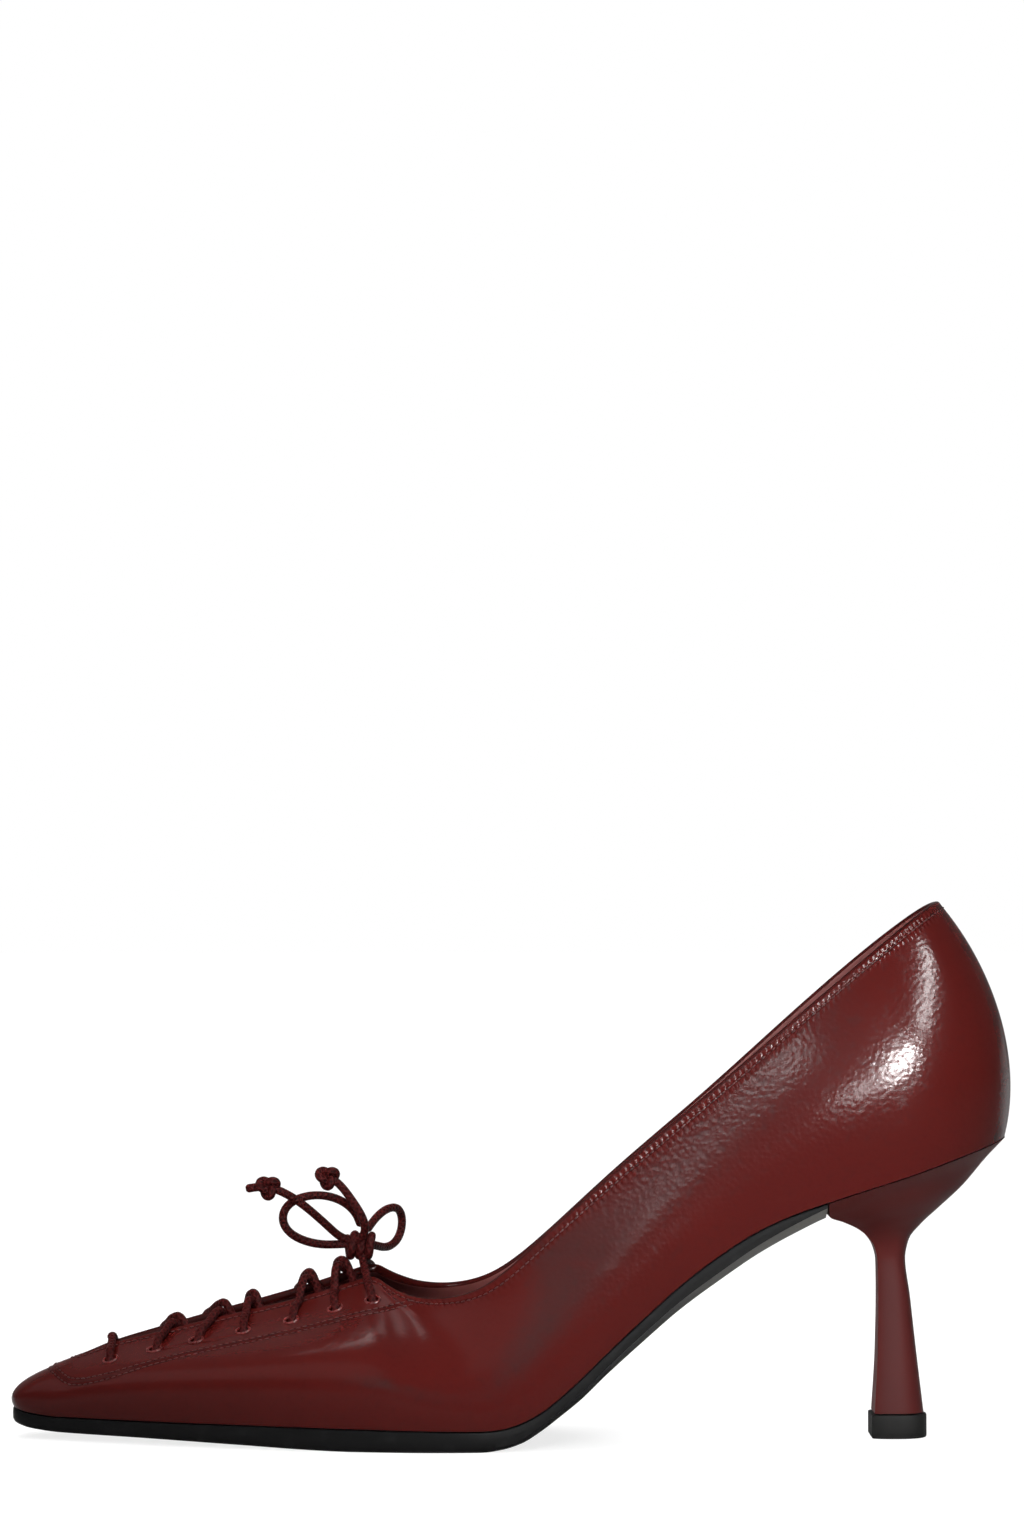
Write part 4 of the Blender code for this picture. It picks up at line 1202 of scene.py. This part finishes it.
def lacing_route(inner, wall, radius):
    """One half of the lacing, from the middle of the first bar to the knot."""
    under = -(wall + radius + LACE_UNDER_GAP)
    over = radius + LACE_OVER_GAP
    through = -wall / 2
    first = EYELET_U[0]
    route = [on_facing(inner, first, EYELET_SETBACK * f, over)[0] for f in BAR_SHARES]
    route.append(on_facing(inner, first, EYELET_SETBACK, through)[0])
    for spot in LEAVING:
        lift = under - spot.drop - spot.inner_drop * inner
        route.append(on_facing(inner, first + spot.run, spot.setback, lift)[0])
    inner = not inner
    for spot in ARRIVING:
        route.append(on_facing(inner, EYELET_U[1] + spot.run, spot.setback, under - spot.drop)[0])
    for k, crossing in enumerate(CROSSINGS, start=1):
        here = EYELET_U[k]
        ahead = EYELET_U[k + 1]
        route.append(on_facing(inner, here, EYELET_SETBACK, through)[0])
        for f in CLIMB_SHARES:
            climb = here + (crossing.over - here) * f
            route.append(on_facing(inner, climb, EYELET_SETBACK * (1 - f), over)[0])
        edge, _ = on_facing(inner, crossing.over, 0.0)
        arch = crossing.inner_arch if inner else crossing.outer_arch
        drop = INNER_MIDDLE_DROP if inner else OUTER_MIDDLE_DROP
        route.append(edge + np.array((0.0, 0.0, arch)))
        middle = (crossing.over + crossing.under) / 2
        middle_z = edge[2] + arch - drop + (middle - crossing.over) * MIDDLE_SLOPE
        route.append(np.array((middle, 0.0, middle_z)))
        inner = not inner
        route += [
            on_facing(inner, crossing.under, TUCK_SETBACK, under)[0],
            on_facing(inner, (crossing.under + ahead) / 2, TUCK_MIDDLE, under)[0],
            on_facing(inner, ahead - TUCK_RISE, EYELET_SETBACK, under)[0],
        ]
    last = EYELET_U[-1]
    side = 1 if inner else -1
    route.append(on_facing(inner, last, EYELET_SETBACK, through)[0])
    for f in LAST_SHARES:
        route.append(on_facing(inner, last - LAST_LEAN * f, EYELET_SETBACK * (1 - f), over)[0])
    for run, aside, up in INTO_KNOT:
        route.append(np.array(KNOT_CENTRE) + np.array((run, side * aside, up)))
    return route


class PUMP_OT_lacing(bpy.types.Operator):
    """Lacing: one lace through all the eyelets, from the knot to the first bar and back"""

    bl_idname = "pump.lacing"
    bl_label = "Lacing"

    def execute(self, context):
        sizes = context.scene.pump_sizes
        radius = sizes.lace / MM / 2
        halves = [lacing_route(inner, sizes.wall / MM, radius) for inner in (False, True)]
        middle = (halves[0][0] + halves[1][0]) / 2 + np.array(BAR_BOW)
        route = smooth_route([*halves[0][::-1], middle, *halves[1]], LACE_ROUTE_STEP)
        lacing = tube("lacing", route, radius, finished("waxed_braid", context.scene))
        crossings = ["lace_cross_%d" % k for k in range(1, len(CROSSINGS) + 1)]
        settle(lacing, "lace_cord", "lace_bar", "lace_rise", *crossings)
        return {"FINISHED"}


def leather_along():
    """Distance round the shoe for any station, measured along the upper part of the wall."""
    t = np.arange(LOOP_COUNT * UPPER_COLUMNS_PER_STATION + 1) / UPPER_COLUMNS_PER_STATION
    path = wall_points(t, np.full((len(t), 1), LEATHER_LINE))[:, 0]
    walked = lengths_walked(path)
    return lambda stations: np.interp(stations, t, walked)


def facing_share(station):
    """One along the facings, fading out over the last station of their seam."""
    return np.clip(FACING_SEAM[-1].station - station, 0.0, 1.0)


def leather_relief(t, below, along, sizes):
    """Rise of the finished leather off the last: facing's step, folded edge and creases."""
    station = side_station(t)[:, None]
    steepness = np.clip((below - seam_setback(station)) / SEAM_BLEND, -SEAM_LIMIT, SEAM_LIMIT)
    rise = sizes.seam_step / MM * facing_share(station) / (1 + np.exp(steepness))
    rise = rise + FOLD_RISE * np.exp(-(below / FOLD_REACH) ** 2)
    for crease in CREASES:
        run = (along(t) - along(crease.station))[:, None]
        across = below - crease.setback - crease.slant * run
        length = np.exp(-(run / crease.along) ** 2)
        trough = np.exp(-(across / crease.across) ** 2)
        beside = across - RIDGE_SHIFT * crease.across
        ridge = RIDGE_HEIGHT * np.exp(-(beside / crease.across) ** 2)
        rise = rise - crease.depth * length * (trough - ridge)
    return rise


def leather_sheet(t, along, sizes):
    """Points of the upper round its wall for each station, and their depth below the top edge."""
    wall = sizes.wall / MM
    fold = wall / 2
    columns = len(t)
    _, whole = at_setback(t, np.zeros((columns, 1)))
    reach = whole[:, None] - fold
    below = fold + reach * np.linspace(1.0, 0.0, UPPER_ROWS + 1) ** UPPER_ROW_CROWDING
    s, _ = at_setback(t, below)
    outer = wall_points(t, s) + leather_relief(t, below, along, sizes)[..., None] * wall_normals(t, s)
    lining_below = fold + reach * np.linspace(0.0, 1.0, LINING_ROWS + 1)
    lining_s, _ = at_setback(t, lining_below)
    lining = wall_points(t, lining_s) - wall * wall_normals(t, lining_s)
    lining[:, -1, 2] = outer[:, 0, 2]
    up = wall_points(t, np.ones((columns, 1))) - wall_points(t, s[:, -1:])
    up = up / np.linalg.norm(up, axis=2, keepdims=True)
    centre = (outer[:, -1:] + lining[:, :1]) / 2
    angles = np.linspace(0.0, math.pi, FOLD_STEPS + 1)[1:-1][None, :, None]
    bead = centre + np.cos(angles) * (outer[:, -1:] - centre) + np.sin(angles) * fold * up
    points = np.concatenate((outer, bead, lining), axis=1)
    depth = np.concatenate((below, np.zeros((columns, FOLD_STEPS - 1)), lining_below), axis=1)
    return points, depth


def eyelet_pins(diameter, wall):
    """Points and faces of the pins that punch the eyelets through both facings."""
    points = []
    faces = []
    angles = np.linspace(0.0, 2 * math.pi, EYELET_SIDES, endpoint=False)
    for inner in (False, True):
        for u in EYELET_U:
            centre, axis = on_facing(inner, u, EYELET_SETBACK)
            across = np.cross(axis, (1.0, 0.0, 0.0))
            across = across / np.linalg.norm(across)
            beside = np.cross(axis, across)
            spokes = np.cos(angles)[:, None] * across + np.sin(angles)[:, None] * beside
            first = len(points)
            for reach in PUNCH_REACH:
                points += list(centre + axis * reach * wall + spokes * diameter / 2)
            for k in range(EYELET_SIDES):
                j = (k + 1) % EYELET_SIDES
                faces.append((first + k, first + j, first + EYELET_SIDES + j, first + EYELET_SIDES + k))
            faces.append(tuple(first + k for k in reversed(range(EYELET_SIDES))))
            faces.append(tuple(first + EYELET_SIDES + k for k in range(EYELET_SIDES)))
    return points, faces


def punch_eyelets(piece, sizes):
    """Punches the eyelets through the upper's leather and lining."""
    pins = eyelet_pins(sizes.eyelet / MM, sizes.wall / MM)
    cutter = add_mesh("eyelet_punch", *pins, piece.data.materials[LEATHER_SLOT])
    punch = piece.modifiers.new("Eyelets", "BOOLEAN")
    punch.operation = "DIFFERENCE"
    punch.solver = "EXACT"
    punch.object = cutter
    graph = bpy.context.evaluated_depsgraph_get()
    punched = bpy.data.meshes.new_from_object(piece.evaluated_get(graph))
    piece.modifiers.remove(punch)
    bpy.data.objects.remove(cutter)
    piece.data = punched
    punched.shade_smooth()
    punched.set_sharp_from_angle(angle=math.radians(UPPER_CRISP))


class PUMP_OT_upper(bpy.types.Operator):
    """Upper: polished leather with a folded top edge and a lining, and punched eyelets"""

    bl_idname = "pump.upper"
    bl_label = "Upper"

    def execute(self, context):
        sizes = context.scene.pump_sizes
        t = np.arange(LOOP_COUNT * UPPER_COLUMNS_PER_STATION) / UPPER_COLUMNS_PER_STATION
        along = leather_along()
        points, depth = leather_sheet(t, along, sizes)
        columns, count = depth.shape
        c, r = np.meshgrid(np.arange(columns), np.arange(count), indexing="ij")
        next_c = (c + 1) % columns
        next_r = (r + 1) % count
        corners = (c * count + r, next_c * count + r, next_c * count + next_r, c * count + next_r)
        faces = np.stack(corners, axis=2).reshape(-1, 4)
        mesh = bpy.data.meshes.new("upper_leather")
        mesh.from_pydata(place(points.reshape(-1, 3)).tolist(), [], faces.tolist())
        leathers = [finished(name, context.scene) for name in ("polished_leather", "lining_leather")]
        piece = make_object("upper_leather", mesh, leathers)
        inside = (r >= UPPER_ROWS + FOLD_STEPS - 1) & (r < count - 1)
        slots = np.where(inside, LINING_SLOT, LEATHER_SLOT).reshape(-1)
        mesh.polygons.foreach_set("material_index", slots.astype(np.int32))

        walked = along(np.arange(columns + 1) / UPPER_COLUMNS_PER_STATION)
        run = np.stack((walked[c], walked[c + 1], walked[c + 1], walked[c]), axis=2)
        station = side_station(t)[:, None]
        from_seam = depth - seam_setback(station)
        seam_here = np.broadcast_to(facing_share(station), depth.shape)
        add_map(mesh, "leather", run, depth.reshape(-1)[faces])
        add_map(mesh, "seam", from_seam.reshape(-1)[faces], seam_here.reshape(-1)[faces])
        punch_eyelets(piece, sizes)
        settle(piece, "burgundy_leather", "upper")
        return {"FINISHED"}


class PUMP_OT_eyelets(bpy.types.Operator):
    """Eyelets: a rolled leather rim round each punched hole"""

    bl_idname = "pump.eyelets"
    bl_label = "Eyelet rims"

    def execute(self, context):
        sizes = context.scene.pump_sizes
        rise = sizes.seam_step / MM + RIM_LIFT
        spots = [on_facing(inner, u, EYELET_SETBACK, rise) for inner in (False, True) for u in EYELET_U]
        mesh = bpy.data.meshes.new("eyelet_spots")
        mesh.from_pydata(place([spot for spot, _ in spots]).tolist(), [], [])
        arrow = mesh.attributes.new("arrow", "FLOAT_VECTOR", "POINT")
        arrow.data.foreach_set("vector", np.array([normal for _, normal in spots]).reshape(-1))
        leather = finished("eyelet_leather_painted_highlight", context.scene)
        source = make_object("eyelet_spots", mesh, leather)
        radius = sizes.eyelet / 2 + sizes.eyelet_roll * RIM_SPREAD
        values = {"Radius": radius, "Roll": sizes.eyelet_roll, "Material": leather}
        rims = realised("eyelet_rims", source, eyelet_rim_tree(), values, leather)
        settle(rims, "burgundy_leather")
        return {"FINISHED"}


def leather_path(stations, setbacks, along, sizes):
    """Points of a stitched row, just proud of the leather along stations and setbacks."""
    t = stations % LOOP_COUNT
    below = setbacks[:, None]
    s, _ = at_setback(t, below)
    rise = leather_relief(t, below, along, sizes) + STITCH_LIFT
    return (wall_points(t, s) + rise[..., None] * wall_normals(t, s))[:, 0]


class PUMP_OT_stitching(bpy.types.Operator):
    """Stitching: one row along the top edge and two along the facings' seam"""

    bl_idname = "pump.stitching"
    bl_label = "Stitching"

    def execute(self, context):
        sizes = context.scene.pump_sizes
        along = leather_along()
        edge = np.linspace(EDGE_ROW_MARGIN, LOOP_COUNT - EDGE_ROW_MARGIN, EDGE_ROW_POINTS)
        rows = [leather_path(edge, np.full(len(edge), sizes.edge_row / MM), along, sizes)]
        seam_end = FACING_SEAM[-1].station - SEAM_ROW_MARGIN
        seam = np.linspace(-seam_end, seam_end, SEAM_ROW_POINTS)
        for side in (-1, 1):
            setbacks = seam_setback(np.abs(seam)) + side * sizes.seam_row / MM
            rows.append(leather_path(seam, setbacks, along, sizes))
        edges = []
        first = 0
        for row in rows:
            edges += [(first + k, first + k + 1) for k in range(len(row) - 1)]
            first += len(row)
        mesh = bpy.data.meshes.new("stitch_paths")
        mesh.from_pydata(place(np.vstack(rows)).tolist(), edges, [])
        material = finished("thread", context.scene)
        source = make_object("stitch_paths", mesh, material)
        values = {
            "Spacing": sizes.stitch_spacing, "Length": sizes.stitch_length,
            "Thickness": sizes.stitch_thickness, "Material": material,
        }
        stitches = realised("stitching", source, stitch_row_tree(), values, material)
        settle(stitches, "burgundy_leather")
        return {"FINISHED"}


def sole_side(t, station):
    """Edge of the outsole on one side, from its rounded top to its bevelled underside."""
    def spot(inset, height):
        u, y = outline_points(t, SOLE_INSET + inset)[0]
        return (u, y, height)

    u = outline_points(t, SOLE_INSET)[0, 0]
    bed = float(bed_height(u))
    bevel = float(edge_bevel(u))
    low = float(under_height(u)) + bevel
    slope = min(2 * bevel, TOE_BEVEL_RUN + TOE_BEVEL_GROWTH * station)
    run = outline_points(t, SOLE_INSET + slope)[0, 0]
    foot = float(under_height(run))
    tread = float(under_height(run + TREAD_MARGIN))
    return [spot(inset, bed - drop) for inset, drop in SOLE_ROUNDING] + [
        spot(-SOLE_SWELL, (bed + low) / 2),
        spot(0.0, low + SOLE_LOW_ROUNDING),
        spot(BEVEL_TOP_SHARE * slope, low - BEVEL_TOP_DROP),
        spot(BEVEL_FOOT_SHARE * slope, foot + BEVEL_FOOT_RISE * bevel),
        spot(slope + TREAD_MARGIN, tread),
    ]


class PUMP_OT_outsole(bpy.types.Operator):
    """Outsole: thin black sole with a rounded edge and a bevelled waist"""

    bl_idname = "pump.outsole"
    bl_label = "Outsole"

    def execute(self, context):
        length = station_of(BREAST_U) - OUTSOLE_START
        rings = []
        for k in range(OUTSOLE_RINGS + 1):
            t = OUTSOLE_START + length * k / OUTSOLE_RINGS
            rings.append(np.array(sole_side(t, t) + sole_side(LOOP_COUNT - t, t)[::-1]))
        sole = loft("outsole_edge", rings, finished("buffed_sole", context.scene), OUTSOLE_CRISP)
        settle(sole, "black_sole", "outsole")
        return {"FINISHED"}


class PUMP_OT_insole(bpy.types.Operator):
    """Insole: board covered with a leather sock"""

    bl_idname = "pump.insole"
    bl_label = "Insole"

    def execute(self, context):
        inset = context.scene.pump_sizes.wall / MM + INSOLE_CLEARANCE
        length = BACK_SEAM - INSOLE_END_MARGIN - INSOLE_START
        rings = []
        for k in range(INSOLE_RINGS + 1):
            t = INSOLE_START + length * k / INSOLE_RINGS
            sides = []
            for side in (t, LOOP_COUNT - t):
                edge = []
                for step, down in INSOLE_EDGE:
                    u, y = outline_points(side, inset + step)[0]
                    edge.append((u, y, float(bed_height(u)) + GAP + INSOLE_THICKNESS - down))
                sides.append(edge)
            rings.append(np.array(sides[0] + sides[1][::-1]))
        sock = loft("insole_sock", rings, finished("soft_sock", context.scene), INSOLE_CRISP)
        settle(sock, "sock_leather", "insole")
        return {"FINISHED"}


def heel_seat_ring():
    """Seat of the heel: the feather line behind the breast, at the bed's height."""
    start = station_of(BREAST_U + GAP)
    t = start + (LOOP_COUNT - 2 * start) * np.linspace(0.0, 1.0, 2 * HEEL_RING_HALF)
    plan = outline_points(t, SOLE_INSET)
    return np.column_stack((np.maximum(plan[:, 0], BREAST_U + GAP), plan[:, 1], bed_height(plan[:, 0])))


def stem_shape():
    """Stem section with a flat breast and a round back, as shares of its length and half width."""
    power = 2 / STEM_SQUARENESS
    angles = STEM_FRONT_ANGLE * np.linspace(-1.0, 1.0, 2 * HEEL_RING_HALF)
    long = np.sign(np.cos(angles)) * np.abs(np.cos(angles)) ** power
    wide = np.sign(np.sin(angles)) * np.abs(np.sin(angles)) ** power
    return np.column_stack(((long - long.min()) / (1 - long.min()), wide))


def level_ring(level, seat_shape, square):
    """Section of the heel at one level, between the seat's shape and the stem's."""
    shape = seat_shape + (square - seat_shape) * level.squareness
    u = level.front + (level.back - level.front) * shape[:, 0]
    z = level.front_z + (level.back_z - level.front_z) * shape[:, 0]
    return np.column_stack((u, shape[:, 1] * level.half_width, z))


class PUMP_OT_heel(bpy.types.Operator):
    """Heel: slim covered stem that spreads into the seat under the shoe"""

    bl_idname = "pump.heel"
    bl_label = "Heel"

    def execute(self, context):
        seat = heel_seat_ring()
        low = seat.min(axis=0)
        high = seat.max(axis=0)
        long = (seat[:, 0] - low[0]) / (high[0] - low[0])
        wide = (2 * seat[:, 1] - low[1] - high[1]) / (high[1] - low[1])
        seat_shape = np.column_stack((long, wide))
        square = stem_shape()
        rings = [seat] + [level_ring(level, seat_shape, square) for level in HEEL_LEVELS]
        steps = [np.linalg.norm(b - a, axis=1).mean() for a, b in zip(rings, rings[1:])]
        marks = np.concatenate(([0.0], np.cumsum(steps)))
        between = smooth_through(marks, np.array(rings).reshape(len(rings), -1))
        fine = [between(np.array(m)).reshape(-1, 3) for m in np.linspace(0.0, marks[-1], HEEL_STEPS + 1)]
        heel = loft("heel_stem", fine, finished("satin_heel_leather", context.scene), HEEL_CRISP)
        settle(heel, "heel_cover", "heel")
        return {"FINISHED"}


class PUMP_OT_top_piece(bpy.types.Operator):
    """Top piece: rubber tip that the heel stands on"""

    bl_idname = "pump.top_piece"
    bl_label = "Top piece"

    def execute(self, context):
        foot = HEEL_LEVELS[-1]
        square = stem_shape()
        rings = []
        for inset, z in TOP_PIECE_EDGE:
            proud = TOP_PIECE_PROUD - inset
            level = HeelLevel(foot.front - proud, z, foot.back + proud, z, foot.half_width + proud, 1.0)
            rings.append(level_ring(level, square, square))
        tip = loft("top_piece_tip", rings, finished("moulded_rubber", context.scene), TOP_PIECE_CRISP)
        settle(tip, "top_piece_rubber", "top_piece")
        return {"FINISHED"}


def heading(azimuth, lift):
    """Direction from the camera's side of the shoe, turned towards its heel by azimuth."""
    turn = math.radians(azimuth)
    rise = math.radians(lift)
    return Vector((math.cos(rise) * math.sin(turn), -math.cos(rise) * math.cos(turn), math.sin(rise)))


def turned_to(spot, aim):
    """Turn of a camera or a lamp at a spot that looks at its aim."""
    return (Vector(aim) - Vector(spot)).to_track_quat("-Z", "Y").to_euler()


def add_light(name, kind, gloss_only):
    """New light that the camera can't see, for reflections alone or for all but them."""
    light = bpy.data.lights.new(name, kind)
    lamp = bpy.data.objects.new(name, light)
    bpy.context.scene.collection.objects.link(lamp)
    lamp.visible_camera = False
    lamp.visible_glossy = gloss_only
    lamp.visible_diffuse = not gloss_only
    return light, lamp


def strip_light(row):
    """Narrow soft box whose reflection runs from its first heading to its last."""
    aim = Vector(row.aim)
    ends = [aim + row.distance * heading(*end) for end in (row.first, row.last)]
    light, lamp = add_light(row.name, "AREA", True)
    middle = (ends[0] + ends[1]) / 2
    along = (ends[1] - ends[0]).normalized()
    back = (middle - aim).normalized()
    across = along.cross(back).normalized()
    light.shape = "RECTANGLE"
    light.size = row.width
    light.size_y = (ends[1] - ends[0]).length
    half_spread = math.radians(row.spread) / 2
    light.spread = 2 * half_spread
    focus = 1 - half_spread / math.tan(half_spread)
    light.energy = row.radiance * math.pi * light.size * light.size_y * focus
    lamp.matrix_world = Matrix((
        (across.x, along.x, back.x, middle.x),
        (across.y, along.y, back.y, middle.y),
        (across.z, along.z, back.z, middle.z),
        (0.0, 0.0, 0.0, 1.0),
    ))


def fill_light(row):
    """Soft light on the leather that leaves no reflection."""
    light, lamp = add_light(row.name, "AREA", False)
    light.size = row.size
    light.energy = row.power
    light.spread = math.radians(row.spread)
    lamp.location = row.place
    lamp.rotation_euler = turned_to(row.place, row.aim)


def ceiling_light():
    """Broad light from above."""
    light, lamp = add_light("ceiling", "SUN", False)
    light.energy = SUN_STRENGTH
    light.angle = math.radians(SUN_SPREAD)
    lamp.rotation_euler = (math.radians(SUN_TILT[0]), math.radians(SUN_TILT[1]), 0.0)


def studio_world():
    """White surround, dimmer in the light that it gives."""
    world = bpy.data.worlds.new("studio")
    world.use_nodes = True
    nodes = world.node_tree.nodes
    links = world.node_tree.links
    seen = nodes.new("ShaderNodeLightPath")
    mix = nodes.new("ShaderNodeMix")
    mix.data_type = "FLOAT"
    mix.inputs["A"].default_value = WORLD_STRENGTH
    mix.inputs["B"].default_value = 1.0
    links.new(seen.outputs["Is Camera Ray"], mix.inputs["Factor"])
    sky = nodes["Background"]
    sky.inputs["Color"].default_value = WHITE
    links.new(mix.outputs["Result"], sky.inputs["Strength"])
    return world


class PUMP_OT_stage(bpy.types.Operator):
    """Stage: camera, pale floor and soft studio light"""

    bl_idname = "pump.stage"
    bl_label = "Stage"

    def execute(self, context):
        scene = context.scene
        scene.view_settings.view_transform = "Standard"
        lens = bpy.data.cameras.new("camera")
        lens.sensor_width = SENSOR
        lens.lens = SENSOR * FOCAL_PIXELS / PHOTO_HEIGHT
        camera = bpy.data.objects.new("camera", lens)
        scene.collection.objects.link(camera)
        camera.location = CAMERA_PLACE
        camera.rotation_euler = turned_to(CAMERA_PLACE, CAMERA_AIM)
        scene.camera = camera

        shape = bmesh.new()
        bmesh.ops.create_circle(shape, cap_ends=True, segments=FLOOR_SIDES, radius=FLOOR_RADIUS)
        mesh = bpy.data.meshes.new("floor")
        shape.to_mesh(mesh)
        shape.free()
        make_object("floor", mesh, finished("floor", scene))

        for row in SOFT_STRIPS:
            strip_light(row)
        for row in FILLS:
            fill_light(row)
        ceiling_light()
        scene.world = studio_world()
        return {"FINISHED"}


OPERATORS = (
    PUMP_OT_stage, PUMP_OT_bow, PUMP_OT_lacing, PUMP_OT_upper, PUMP_OT_eyelets, PUMP_OT_stitching,
    PUMP_OT_outsole, PUMP_OT_insole, PUMP_OT_heel, PUMP_OT_top_piece,
)


class PUMP_PT_panel(bpy.types.Panel):
    """Sizes, colours and pieces of the pump"""

    bl_idname = "PUMP_PT_panel"
    bl_label = "Pump"
    bl_space_type = "VIEW_3D"
    bl_region_type = "UI"
    bl_category = "Pump"

    def draw(self, context):
        for group in (context.scene.pump_sizes, context.scene.pump_colours):
            for key in group.__annotations__:
                self.layout.prop(group, key)
        for operator in OPERATORS:
            self.layout.operator(operator.bl_idname)


CLASSES = (PumpSizes, PumpColours, *OPERATORS, PUMP_PT_panel)


def register():
    """Adds the classes and their settings to Blender."""
    for one in CLASSES:
        bpy.utils.register_class(one)
    bpy.types.Scene.pump_sizes = PointerProperty(type=PumpSizes)
    bpy.types.Scene.pump_colours = PointerProperty(type=PumpColours)


def unregister():
    """Takes the settings and the classes out of Blender."""
    del bpy.types.Scene.pump_colours
    del bpy.types.Scene.pump_sizes
    for one in reversed(CLASSES):
        bpy.utils.unregister_class(one)


def main():
    """Builds the stage and every piece."""
    register()
    for operator in OPERATORS:
        getattr(bpy.ops.pump, operator.bl_idname.split(".")[1])()


if __name__ == "__main__":
    main()
